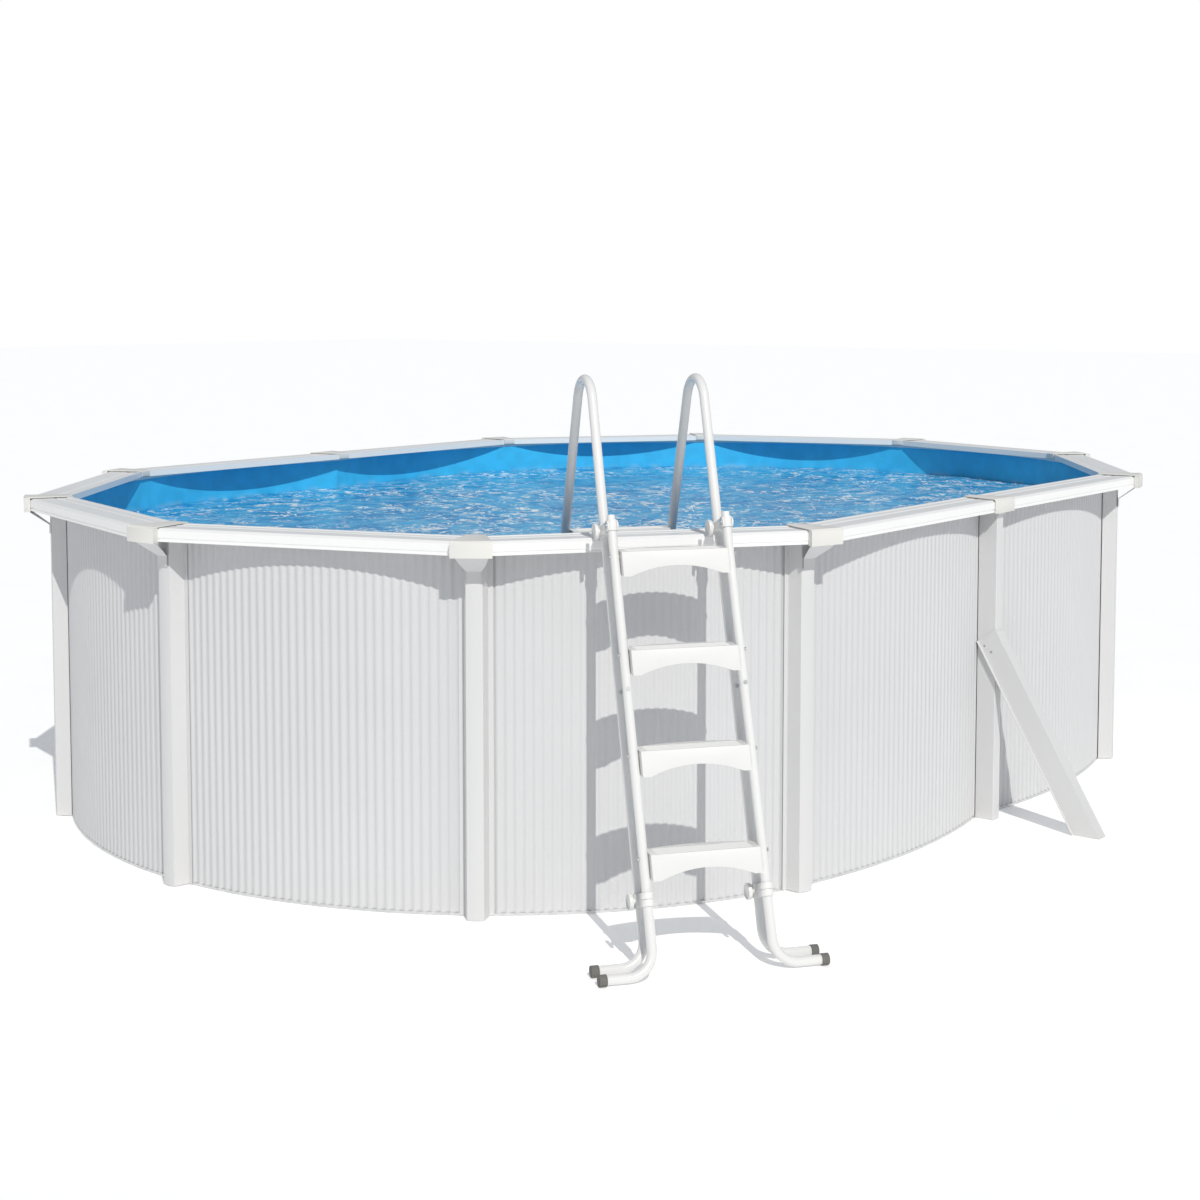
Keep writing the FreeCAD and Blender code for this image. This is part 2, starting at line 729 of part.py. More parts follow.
def brace(label, frame):
    """Sloping channel: a web beside the upright, an outer flange and a lipped inner one."""
    body = new_body(label)
    gauge, foot = D["brace_gauge"], D["felt_thick"]
    crest = D["brace_height"]
    shoulder = crest - D["brace_drop"]
    across = gauge * 1.16
    side = sketch_on(body, "YZ_Plane", D["brace_half"] - gauge)
    add_outline(side, [
        (brace_edge(foot, True), foot), (brace_edge(foot, False), foot),
        (brace_edge(crest, False), crest), (brace_edge(shoulder, True), shoulder)])
    pad(body, side, gauge)
    flanges = sketch_on(body, "YZ_Plane", -D["brace_half"])
    start = crest - 6
    add_outline(flanges, [
        (brace_edge(foot, False) - across, foot), (brace_edge(foot, False), foot),
        (brace_edge(start, False), start), (brace_edge(start, False) - across, start)])
    pad(body, flanges, 2 * D["brace_half"])
    rim = sketch_on(body, "YZ_Plane", -D["brace_half"])
    add_outline(rim, [
        (brace_edge(foot, True), foot), (brace_edge(foot, True) + across, foot),
        (brace_edge(shoulder, True) + across, shoulder), (brace_edge(shoulder, True), shoulder)])
    pad(body, rim, 2 * D["brace_half"] + D["brace_lip"])
    clear = sketch_on(body, "XY_Plane")
    edge = D["waist_half"] + D["brace_gap"] / 2
    reach = D["waist_depth"] + D["brace_gap"] / 2
    add_outline(clear, [(-2 * D["brace_half"], as_dim(-90)), (edge, as_dim(-90)),
                        (edge, reach), (-2 * D["brace_half"], reach)])
    pocket(body, clear, CUT_THROUGH, symmetric=True)
    body.Placement = frame
    return body


def brace_foot(label, frame):
    """Ground plate under a brace with two anchor holes."""
    body = new_body(label)
    sketch = sketch_on(body, "XY_Plane")
    half, near, away = D["brace_half"], brace_edge(as_dim(0), True), D["brace_reach"]
    add_outline(sketch, [(-half, near), (half, near), (half, away), (-half, away)])
    middle = near + D["foot_hole_inset"]
    for side in (-1, 1):
        add_circle(sketch, 0, middle + side * D["foot_hole_spacing"] / 2, D["foot_hole_radius"])
    pad(body, sketch, D["felt_thick"])
    body.Placement = frame
    return body


def foot_plate(number, frame, waist):
    """Small plate on the ground under one upright, hidden by it."""
    half, low, front = D["upright_front_half"], D["upright_stand_off"], D["upright_depth"]
    if waist:
        half, low, front = D["waist_half"], D["waist_stand_off"], D["waist_depth"]
    size = (2 * (half - 1), front - low - 2 * D["upright_crown"], D["foot_plate"])
    corner = (1 - half.value, (low + D["upright_crown"]).value, 0)
    return box("foot_plate_%d" % number, frame, corner, size)


def brace_bolts(side, frame):
    """Two bolts from inside the upright, through its side and the brace's web."""
    heights = [D["brace_height"] - drop for drop in (66, 86)]
    start = D["waist_half"] - D["upright_gauge"]
    bolts = []
    for place, (height, inset) in enumerate(zip(heights, (18, 34))):
        reach = brace_edge(height, True) + inset
        base = Vector(start.value, reach.value, height.value)
        length = D["brace_half"] - start
        bolts.append(screw("brace_bolt_%s_%d" % (side, place), frame, base, -X_AXIS, length))
    return bolts


def screw(label, frame, base, direction, length, head_length=4):
    """Screw whose head sits at base and whose shank runs back along direction."""
    head = cylinder(label + "_head", frame, base, direction, D["screw_head"], as_dim(head_length))
    shank = cylinder(label + "_shank", frame, base - direction * length.value, direction,
                     D["screw_radius"], length + 1)
    return fuse(label, [head, shank])


def pool_structure():
    """Everything that stands on the ground round the pool."""
    near, far = [], []
    caps, brackets, plates, bolts = [], [], [], []
    nodes = []
    for number, (angle, x, y, kind) in enumerate(corners(), start=1):
        frame = turned(x, y, angle)
        waist = kind == "waist"
        corner = WAIST_CORNER if waist else LOBE_CORNER
        half = D["waist_cap_half"] if waist else D["cap_outer_half"]
        caps.append(corner_cap(number, frame, corner, half))
        brackets.append(rail_bracket(number, frame, waist))
        plates.append(foot_plate(number, frame, waist))
        if not waist:
            (near if x < 0 else far).append(upright(number, frame))
            continue
        side = "front" if y < 0 else "back"
        nodes.append(waist_upright("waist_upright_" + side, frame))
        nodes.append(brace("brace_" + side, frame))
        nodes.append(brace_foot("brace_foot_" + side, frame))
        bolts += brace_bolts(side, frame)
    bundles = {"uprights_near": near, "uprights_far": far, "corner_caps": caps,
               "rail_brackets": brackets, "foot_plates": plates, "brace_bolts": bolts}
    return nodes + [group(label, members) for label, members in bundles.items()]


# ---- ladder ------------------------------------------------------------------------------

LEAN = D["leg_lean"]
LEG_FOOT = (D["apex_shift"] + D["arch_radius"] / cosine(LEAN)
            + D["arch_centre"] * tangent(LEAN))
ARCH_START = (D["arch_centre"] + D["arch_radius"] * sine(LEAN)) / cosine(LEAN)
UP = Z_AXIS


def ladder_frame():
    """Frame of the ladder: +Y outward from the bay that it straddles, +X along the bay."""
    front_bays = [bay for bay in bays() if bay[3] == "end" and bay[1] < 0 and bay[2] < 0]
    angle, x, y, kind = min(front_bays, key=lambda bay: bay[2])
    return turned(x, y, angle)


LADDER = ladder_frame()
TILT = FreeCAD.Rotation(X_AXIS, LEAN.value)
OUTER_LEG = LADDER * FreeCAD.Placement(Vector(0, LEG_FOOT.value, 0), TILT)
HALF_ROUND = FreeCAD.Placement(
    Vector(0, 2 * D["apex_shift"].value, 0), FreeCAD.Rotation(Z_AXIS, 180))
INNER_LADDER = LADDER * HALF_ROUND
INNER_LEG = INNER_LADDER * FreeCAD.Placement(Vector(0, LEG_FOOT.value, 0), TILT)
SIDES = (("left", 1), ("right", -1))
BORE_OVERRUN = 2


def hollow(label, outer, inner):
    """Tube from its outer and inner solids."""
    return cut(label, fuse(label + "_outer", outer), fuse(label + "_bore", inner))


def handrail(label, side):
    """Arched tube: both upper legs and the bend over the top."""
    x = side * D["frame_half"].value
    length = ARCH_START - D["tube_joint"]
    parts = []
    for radius, extra in ((D["tube_radius"], 0), (D["tube_radius"] - D["tube_wall"], BORE_OVERRUN)):
        solids = []
        for leg, sign in ((OUTER_LEG, 1), (INNER_LEG, -1)):
            base = Vector(sign * x, 0, D["tube_joint"].value - extra)
            solids.append(cylinder(label + "_run", leg, base, UP, radius, length + extra))
        lean = math.radians(LEAN.value)
        centre = Vector(x, D["apex_shift"].value, D["arch_centre"].value)
        start = Vector(0, math.cos(lean), math.sin(lean))
        solids.append(bend(label + "_arch", LADDER, centre, start, X_AXIS, D["arch_radius"],
                           radius, 180 - 2 * LEAN))
        parts.append(solids)
    return hollow(label, *parts)


def footed_leg(label, frame, x, offset, top, foot_height, spigot):
    """Sloping tube with a foot bent out sideways; offset is its place ahead of the leg."""
    side = 1 if x > 0 else -1
    foot = (foot_height - offset * sine(LEAN)) / cosine(LEAN)
    start = foot + D["foot_bend"]
    reach = D["foot_reach"] - D["foot_cap_end"] - D["frame_half"] - D["foot_bend"]
    parts = []
    for radius, extra in ((D["tube_radius"], 0), (D["tube_radius"] - D["tube_wall"], BORE_OVERRUN)):
        base = Vector(x, offset.value, start.value)
        solids = [cylinder(label + "_run", frame, base, UP, radius, top - start + extra)]
        if spigot and not extra:
            base = Vector(x, offset.value, top.value - 1)
            solids.append(cylinder(label + "_spigot", frame, base, UP,
                                   D["tube_radius"] - D["tube_wall"] - D["spigot_gap"],
                                   D["spigot_length"] + 1))
        centre = Vector(x + side * D["foot_bend"].value, offset.value, start.value)
        solids.append(bend(label + "_bend", frame, centre, Vector(-side, 0, 0),
                           Vector(0, -side, 0), D["foot_bend"], radius, as_dim(90)))
        base = Vector(centre.x, offset.value, foot.value)
        solids.append(cylinder(label + "_toe", frame, base, Vector(side, 0, 0), radius,
                               reach + extra))
        if spigot and extra:
            base = Vector(x, offset.value, top.value - D["spigot_neck"].value - 1)
            solids.append(cylinder(label + "_spigot_bore", frame, base, UP,
                                   D["tube_radius"] - 2 * D["tube_wall"],
                                   D["spigot_length"] + 10))
        parts.append(solids)
    if spigot:
        bind(parts[1][0], "Height", top - start - D["spigot_neck"])
    return hollow(label, *parts)


def foot_cap(label, frame, x, offset, foot_height):
    """Rubber cap over the end of one bent foot."""
    side = 1 if x > 0 else -1
    foot = (foot_height - offset * sine(LEAN)) / cosine(LEAN)
    outer = D["foot_reach"]
    base = Vector(side * (outer - D["foot_cap_length"]).value, offset.value, foot.value)
    direction = Vector(side, 0, 0)
    shell = cylinder(label + "_shell", frame, base, direction, D["foot_cap_radius"],
                     D["foot_cap_length"])
    bore = cylinder(label + "_bore", frame, base - direction, direction, D["tube_radius"],
                    D["foot_cap_length"] - D["foot_cap_end"] + 1)
    return cut(label, shell, bore)


OUTER_FOOT = D["foot_cap_radius"]
INNER_FOOT = D["felt_thick"] + D["liner_thick"] + D["floor_gap"] + D["foot_cap_radius"]


def clamp_ring(label, x, rise):
    """Rear collar of a bracket with the boss that takes its knob."""
    half = D["bracket_height"] / 2
    base = Vector(x, 0, rise.value - half.value)
    ring = cylinder(label + "_ring", OUTER_LEG, base, UP, D["bracket_radius"], 2 * half)
    boss = cylinder(label + "_boss", OUTER_LEG, Vector(x, 0, rise.value), X_AXIS,
                    D["boss_radius"], D["knob_boss"])
    return [ring, boss]


def clamp_bores(label, x, rise):
    """Holes of a rear collar: the leg and the knob's spindle."""
    half = D["bracket_height"].value / 2
    leg = cylinder(label + "_leg_bore", OUTER_LEG, Vector(x, 0, rise.value - half - 5), UP,
                   D["tube_radius"] + D["bore_gap"], D["bracket_height"] + 10)
    spindle = cylinder(label + "_spindle_bore", OUTER_LEG,
                       Vector(x + D["tube_radius"].value, 0, rise.value), X_AXIS,
                       D["spindle_radius"] + D["bore_gap"], D["tube_radius"])
    return [leg, spindle]


def latch_bracket(label, x):
    """Lower bracket: rear collar, web and the ring that holds the front foot tube."""
    rise, offset = D["latch_rise"], D["stringer_offset"]
    half = D["bracket_height"] / 2
    lower = half - D["split_gap"] / 2
    base = Vector(x, offset.value, (rise - half).value)
    ring = cylinder(label + "_front_ring", OUTER_LEG, base, UP, D["bracket_radius"], lower)
    corner = (x - D["bracket_web"].value / 2, 0, (rise - half).value)
    web = box(label + "_web", OUTER_LEG, corner, (D["bracket_web"], offset, lower))
    rib = box(label + "_rib", OUTER_LEG, corner,
              (D["bracket_web"], offset - D["bracket_radius"] - 1, 2 * half))
    bore = cylinder(label + "_front_bore", OUTER_LEG, base - UP * 5, UP,
                    D["tube_radius"] + D["bore_gap"], 2 * half)
    solid = fuse(label + "_solid", clamp_ring(label, x, rise) + [ring, web, rib])
    return cut(label, solid, fuse(label + "_bores", clamp_bores(label, x, rise) + [bore]))


def pivot_bracket(label, x):
    """Upper bracket: rear collar and a fork whose cheeks carry the hinge pin."""
    rise, offset = D["pivot_rise"], D["stringer_offset"]
    low = rise.value - D["arm_height"].value / 2
    solids = clamp_ring(label, x, rise)
    for side in (-1, 1):
        start = x + (D["cheek_inner"].value if side > 0 else -D["cheek_outer"].value)
        solids.append(box(label + "_arm", OUTER_LEG, (start, 0, low),
                          (D["cheek_gauge"], offset, D["arm_height"])))
        solids.append(cylinder(label + "_eye", OUTER_LEG,
                               Vector(start, offset.value, rise.value), X_AXIS,
                               D["cheek_outer"], D["cheek_gauge"]))
    solids.append(box(label + "_web", OUTER_LEG, (x - D["cheek_outer"].value, 0, low),
                      (2 * D["cheek_outer"], offset - D["knuckle_swing"], D["arm_height"])))
    bores = clamp_bores(label, x, rise)
    bores.append(across_bore(label, x, D["pivot_radius"] + D["bore_gap"] / 2))
    return cut(label, fuse(label + "_solid", solids), fuse(label + "_bores", bores))


def across_bore(label, x, radius):
    """Hole for the hinge pin, right across a bracket or knuckle."""
    reach = 2 * D["cheek_outer"]
    base = Vector(x - reach.value, D["stringer_offset"].value, D["pivot_rise"].value)
    return cylinder(label + "_pin_bore", OUTER_LEG, base, X_AXIS, radius, 2 * reach)


def hinge_pin(label, x):
    """Headed pin through both cheeks and the knuckle."""
    half = D["cheek_outer"].value
    origin = Vector(x, D["stringer_offset"].value, D["pivot_rise"].value)
    shaft = cylinder(label + "_shaft", OUTER_LEG, origin - X_AXIS * half, X_AXIS,
                     D["pivot_radius"], 2 * D["cheek_outer"])
    head = D["pin_head"]
    heads = [cylinder(label + "_head", OUTER_LEG, origin + X_AXIS * low, X_AXIS,
                      D["pivot_radius"] + head, head) for low in (-half - head.value, half)]
    return fuse(label, [shaft] + heads)


def knuckle(label, x):
    """Moulded top of a stringer: plug, flat-sided eye and rounded finial."""
    offset, rise = D["stringer_offset"], D["pivot_rise"]
    half = D["cheek_outer"]
    flat = D["cheek_inner"] - D["knuckle_gap"]
    centre = Vector(x, offset.value, rise.value)
    barrel = cylinder(label + "_barrel", OUTER_LEG, centre - UP * half.value, UP, half, 2 * half)
    slab = box(label + "_slab", OUTER_LEG,
               (x - flat.value, (offset - 2 * half).value, (rise - 2 * half).value),
               (2 * flat, 4 * half, 4 * half))
    eye = doc.addObject("Part::Common", label + "_eye")
    eye.Base = barrel
    eye.Tool = slab
    low = centre - UP * (half + D["plug_length"]).value
    plug = cylinder(label + "_plug", OUTER_LEG, low, UP,
                    D["stringer_radius"] - D["tube_wall"] - D["spigot_gap"],
                    D["plug_length"] + 2)
    finial = cylinder(label + "_finial", OUTER_LEG, centre + UP * (half.value - 1), UP,
                      D["finial_radius"], D["finial_height"] + 1)
    bore = across_bore(label, x, D["pivot_radius"] + D["bore_gap"])
    return cut(label, fuse(label + "_solid", [eye, plug, finial]), bore)


STRINGER_TOP = D["pivot_rise"] - D["cheek_outer"] - 1


def stringer(label, x, low, high, spigot):
    """Straight tube of the outer flight; a lower one has a spigot on a swaged neck."""
    base = Vector(x, D["stringer_offset"].value, low.value)
    outer = [cylinder(label + "_run", OUTER_LEG, base, UP, D["stringer_radius"], high - low)]
    bore_radius = D["stringer_radius"] - D["tube_wall"]
    reach = high - low + 2
    if spigot:
        reach = high - low - D["spigot_neck"] + 1
    inner = [cylinder(label + "_bore", OUTER_LEG, base - UP, UP, bore_radius, reach)]
    if spigot:
        top = Vector(x, D["stringer_offset"].value, high.value)
        outer.append(cylinder(label + "_spigot", OUTER_LEG, top - UP, UP,
                              bore_radius - D["spigot_gap"], D["spigot_length"] + 1))
        neck = top - UP * (D["spigot_neck"].value + 1)
        inner.append(cylinder(label + "_spigot_bore", OUTER_LEG, neck, UP,
                              bore_radius - D["tube_wall"], D["spigot_length"] + 10))
    return cut(label, fuse(label + "_outer", outer), fuse(label + "_hollow", inner))


def latch_sleeve(label, x):
    """Ring on the lower end of a stringer that stands on the bracket's ring."""
    gap = D["split_gap"] / 2
    half = D["bracket_height"] / 2
    base = Vector(x, D["stringer_offset"].value, (D["latch_rise"] + gap).value)
    ring = cylinder(label + "_ring", OUTER_LEG, base, UP, D["bracket_radius"], half - gap)
    bore = cylinder(label + "_bore", OUTER_LEG, base - UP, UP,
                    D["stringer_radius"] + D["bore_gap"], half + 2)
    return cut(label, ring, bore)


def knob(label, x, rise):
    """Dished thumb knob with its spindle."""
    start = Vector(x + (D["knob_boss"] + D["knob_gap"]).value, 0, rise.value)
    disc = cylinder(label + "_disc", OUTER_LEG, start, X_AXIS, D["knob_radius"], D["knob_thick"])
    floor = start + X_AXIS * (D["knob_thick"] - D["knob_dish"]).value
    dish = cylinder(label + "_dish", OUTER_LEG, floor, X_AXIS,
                    D["knob_radius"] - D["knob_rim"], D["knob_thick"])
    seat = D["tube_radius"] + 1.5
    spindle = cylinder(label + "_spindle", OUTER_LEG, Vector(x + seat.value, 0, rise.value),
                       X_AXIS, D["spindle_radius"], D["knob_boss"] + 5 - D["tube_radius"])
    return fuse(label, [cut(label + "_cup", disc, dish), spindle])


def step(label, frame, axis_y, height, half):
    """Moulded tread with a sloping arched apron, a bowed back lip and two end plates."""
    body = new_body(label)
    wall, apron, front = D["step_wall"], D["step_apron"], D["step_front"]
    back_end, slope = D["step_back_end"], tangent(LEAN)
    bow = arc_radius(half, D["step_back"] - back_end)
    profile = sketch_on(body, "YZ_Plane")
    add_outline(profile, [
        (front, 0), (-D["step_back"] - 5, 0), (-D["step_back"] - 5, -wall),
        (front - wall + wall * slope, -wall), (front - wall + apron * slope, -apron),
        (front + apron * slope, -apron)])
    pad(body, profile, 2 * half, symmetric=True)
    behind = sketch_on(body, "XY_Plane")
    add_outline(behind, [(-half - 1, -back_end), (-half - 1, -2 * D["step_back"]),
                         (half + 1, -2 * D["step_back"]), (half + 1, -back_end),
                         (half, -back_end), (-half, -back_end)], {4: -bow})
    pocket(body, behind, 2 * apron, symmetric=True)
    lip = sketch_on(body, "XY_Plane", -D["step_lip"])
    add_outline(lip, [(-half, -back_end), (half, -back_end), (half, wall - back_end),
                      (-half, wall - back_end)], {0: bow, 2: -bow})
    pad(body, lip, D["step_lip"] - wall / 2)
    for place in (-half, half - wall):
        plate = sketch_on(body, "YZ_Plane", place)
        add_outline(plate, [(front - 1, -wall / 2), (1 - back_end, -wall / 2),
                            (1 - back_end, -D["step_lip"]),
                            (front + apron * slope - 30, -apron),
                            (front + apron * slope - 1, -apron)])
        pad(body, plate, wall)
    arch = sketch_on(body, "XZ_Plane")
    arch_half = half - D["step_boss"]
    add_outline(arch, [(arch_half, -apron), (-arch_half, -apron), (-arch_half, -2 * apron),
                       (arch_half, -2 * apron)], {0: arc_radius(arch_half, D["step_arch"])})
    pocket(body, arch, 4 * D["step_back"], symmetric=True)
    body.Placement = frame * FreeCAD.Placement(Vector(0, axis_y, height), FreeCAD.Rotation())
    return body


def step_heights():
    """Heights of the treads from the top one down."""
    count = int(D["step_count"].value)
    return [(D["step_top"] - index * D["step_rise"]).value for index in range(count)]


def axis_at(height, offset):
    """Outward place of a leg's axis, or of the stringer's axis, at a height."""
    return (LEG_FOOT + offset / cosine(LEAN)).value - height * math.tan(math.radians(LEAN.value))


def step_screws(label, frame, offset, radius):
    """One screw through the tube at each end of every step."""
    screws = []
    length = 2 * radius + D["step_gap"] + 1.5 * D["step_wall"]
    for height in step_heights():
        low = height - D["screw_drop"].value
        for side in (-1, 1):
            base = Vector(side * (D["frame_half"] + radius).value, axis_at(low, offset), low)
            screws.append(screw(label + "_screw", frame, base, Vector(side, 0, 0), length))
    return screws


def joint_screws(label, frame, offset, radius):
    """One screw on the outer face of each tube at its joint."""
    screws = []
    for name, side in SIDES:
        base = Vector(side * D["frame_half"].value, (as_dim(offset) + radius).value,
                      D["tube_joint"].value + 20)
        screws.append(screw(label + "_screw", frame, base, Vector(0, 1, 0),
                            5 * D["tube_wall"], head_length=2))
    return screws


def ladder_side(name, side, bundles):
    """Tubes, brackets and knobs of one side; small pieces go into the bundles."""
    x, joint = side * D["frame_half"].value, D["tube_joint"]
    zero, offset = as_dim(0), D["stringer_offset"]
    foot_top = D["latch_rise"] - D["split_gap"] / 2
    stringer_low = D["latch_rise"] + D["split_gap"] / 2
    bundles["inner_legs"].append(
        footed_leg("inner_leg_" + name, INNER_LEG, -x, zero, joint, INNER_FOOT, True))
    bundles["front_feet"].append(
        footed_leg("front_foot_" + name, OUTER_LEG, x, offset, foot_top, OUTER_FOOT, False))
    bundles["foot_caps"] += [
        foot_cap("rear_cap_" + name, OUTER_LEG, x, zero, OUTER_FOOT),
        foot_cap("front_cap_" + name, OUTER_LEG, x, offset, OUTER_FOOT),
        foot_cap("inner_cap_" + name, INNER_LEG, -x, zero, INNER_FOOT)]
    bundles["hinge_pins"].append(hinge_pin("hinge_pin_" + name, x))
    bundles["knuckles"].append(knuckle("knuckle_" + name, x))
    bundles["latch_sleeves"].append(latch_sleeve("latch_sleeve_" + name, x))
    return [
        handrail("handrail_" + name, side),
        footed_leg("outer_leg_" + name, OUTER_LEG, x, zero, joint, OUTER_FOOT, True),
        latch_bracket("latch_bracket_" + name, x),
        pivot_bracket("pivot_bracket_" + name, x),
        stringer("stringer_lower_" + name, x, stringer_low, joint, True),
        stringer("stringer_upper_" + name, x, joint, STRINGER_TOP, False),
        knob("latch_knob_" + name, x, D["latch_rise"]),
        knob("pivot_knob_" + name, x, D["pivot_rise"])]


def ladder_screws():
    """Screws of the fixed frame and of the folding flight."""
    zero, offset = as_dim(0), D["stringer_offset"]
    frame = step_screws("inner", INNER_LADDER, zero, D["tube_radius"])
    frame += joint_screws("leg", OUTER_LEG, 0, D["tube_radius"])
    frame += joint_screws("inner_leg", INNER_LEG, 0, D["tube_radius"])
    flight = step_screws("outer", LADDER, offset, D["stringer_radius"])
    flight += joint_screws("stringer", OUTER_LEG, offset, D["stringer_radius"])
    return {"frame_screws": frame, "flight_screws": flight}


def ladder():
    """The fixed A-frame, its outer folding flight and the four knobs."""
    bundles = {label: [] for label in ("inner_legs", "front_feet", "foot_caps", "hinge_pins",
                                       "knuckles", "latch_sleeves", "inner_steps")}
    nodes = []
    for name, side in SIDES:
        nodes += ladder_side(name, side, bundles)
    zero, offset = as_dim(0), D["stringer_offset"]
    for index, height in enumerate(step_heights(), start=1):
        nodes.append(step("outer_step_%d" % index, LADDER, axis_at(height, offset), height,
                          D["outer_step_half"]))
        bundles["inner_steps"].append(
            step("inner_step_%d" % index, INNER_LADDER, axis_at(height, zero), height,
                 D["inner_step_half"]))
    bundles.update(ladder_screws())
    return nodes + [group(label, members) for label, members in bundles.items()]


def check(nodes):
    """Stop if any object failed, any shape is bad or a pocket took nothing away."""
    for thing in doc.Objects:
        if "Invalid" in thing.State or "Error" in thing.State:
            raise RuntimeError("failed object: %s %s" % (thing.Label, thing.State))
        if thing.TypeId == "PartDesign::Pocket":
            if thing.Shape.Volume >= thing.BaseFeature.Shape.Volume - 1e-3:
                raise RuntimeError("pocket took nothing: %s" % thing.Label)
    for node in nodes:
        if node.Shape.isNull() or not node.Shape.isValid() or not node.Shape.Solids:
            raise RuntimeError("bad shape: %s" % node.Label)


def main():
    nodes = [wall_sheet(), bottom_track(), ground_felt(), waist_strap(), liner(), coping_clip(),
             wall_joint_bar()]
    nodes += top_rails()
    nodes += pool_structure()
    nodes += ladder()
    doc.recompute()
    check(nodes)
    for node in nodes:
        node.Shape.exportStep("parts/%s.step" % node.Label)


main()
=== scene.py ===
"""Looks of an oval steel-wall pool with its A-frame ladder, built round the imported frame."""
from __future__ import annotations

import json
import logging
import math
from dataclasses import dataclass, field
from enum import Enum
from typing import Callable, Iterable

import bmesh
import bpy
from mathutils import Matrix, Vector, noise

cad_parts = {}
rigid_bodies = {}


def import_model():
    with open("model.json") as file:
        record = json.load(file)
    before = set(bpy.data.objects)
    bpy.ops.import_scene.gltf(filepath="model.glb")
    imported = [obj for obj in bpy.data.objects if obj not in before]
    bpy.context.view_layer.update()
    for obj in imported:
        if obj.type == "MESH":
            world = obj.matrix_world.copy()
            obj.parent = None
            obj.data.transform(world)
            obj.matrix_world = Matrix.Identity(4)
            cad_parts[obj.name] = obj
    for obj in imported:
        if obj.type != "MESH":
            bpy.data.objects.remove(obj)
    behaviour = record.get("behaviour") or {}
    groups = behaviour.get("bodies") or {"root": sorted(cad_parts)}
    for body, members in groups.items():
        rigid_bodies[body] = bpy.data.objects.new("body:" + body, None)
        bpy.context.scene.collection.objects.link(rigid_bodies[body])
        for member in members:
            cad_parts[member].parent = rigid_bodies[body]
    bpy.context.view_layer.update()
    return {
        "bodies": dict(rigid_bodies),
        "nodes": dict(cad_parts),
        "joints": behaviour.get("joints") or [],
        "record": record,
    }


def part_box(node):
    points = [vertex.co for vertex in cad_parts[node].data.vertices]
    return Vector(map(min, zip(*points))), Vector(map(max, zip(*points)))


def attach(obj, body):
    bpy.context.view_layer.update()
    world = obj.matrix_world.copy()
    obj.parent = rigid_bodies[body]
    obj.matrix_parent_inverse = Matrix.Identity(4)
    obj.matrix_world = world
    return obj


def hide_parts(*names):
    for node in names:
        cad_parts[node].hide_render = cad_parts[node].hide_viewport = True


LOG = logging.getLogger("pool")
Colour = tuple[float, float, float]
Point = tuple[float, float, float]

WELD = 1e-5
SAME_PLACE = 1e-6
FLAT_ANGLE = 1.0
CRISP_ANGLE = 60.0
STREAK_STRETCH: Point = (6.0, 6.0, 0.25)
SPLASH_RAGGED = 0.12
SPLASH_LOW = -0.04
SPLASH_HIGH = 0.10
# Painted highlight: colour of the glint lines painted onto the water.
PAINTED_GLINT: Colour = (0.90, 0.98, 1.0)
TIDE_MARK: Colour = (0.62, 0.74, 0.78)


class Body(Enum):
    """Names of the moving bodies that pieces ride on."""

    POOL = "pool"
    LADDER = "ladder_frame"
    FLIGHT = "outer_flight"


# ---- shader node groups ------------------------------------------------------------------


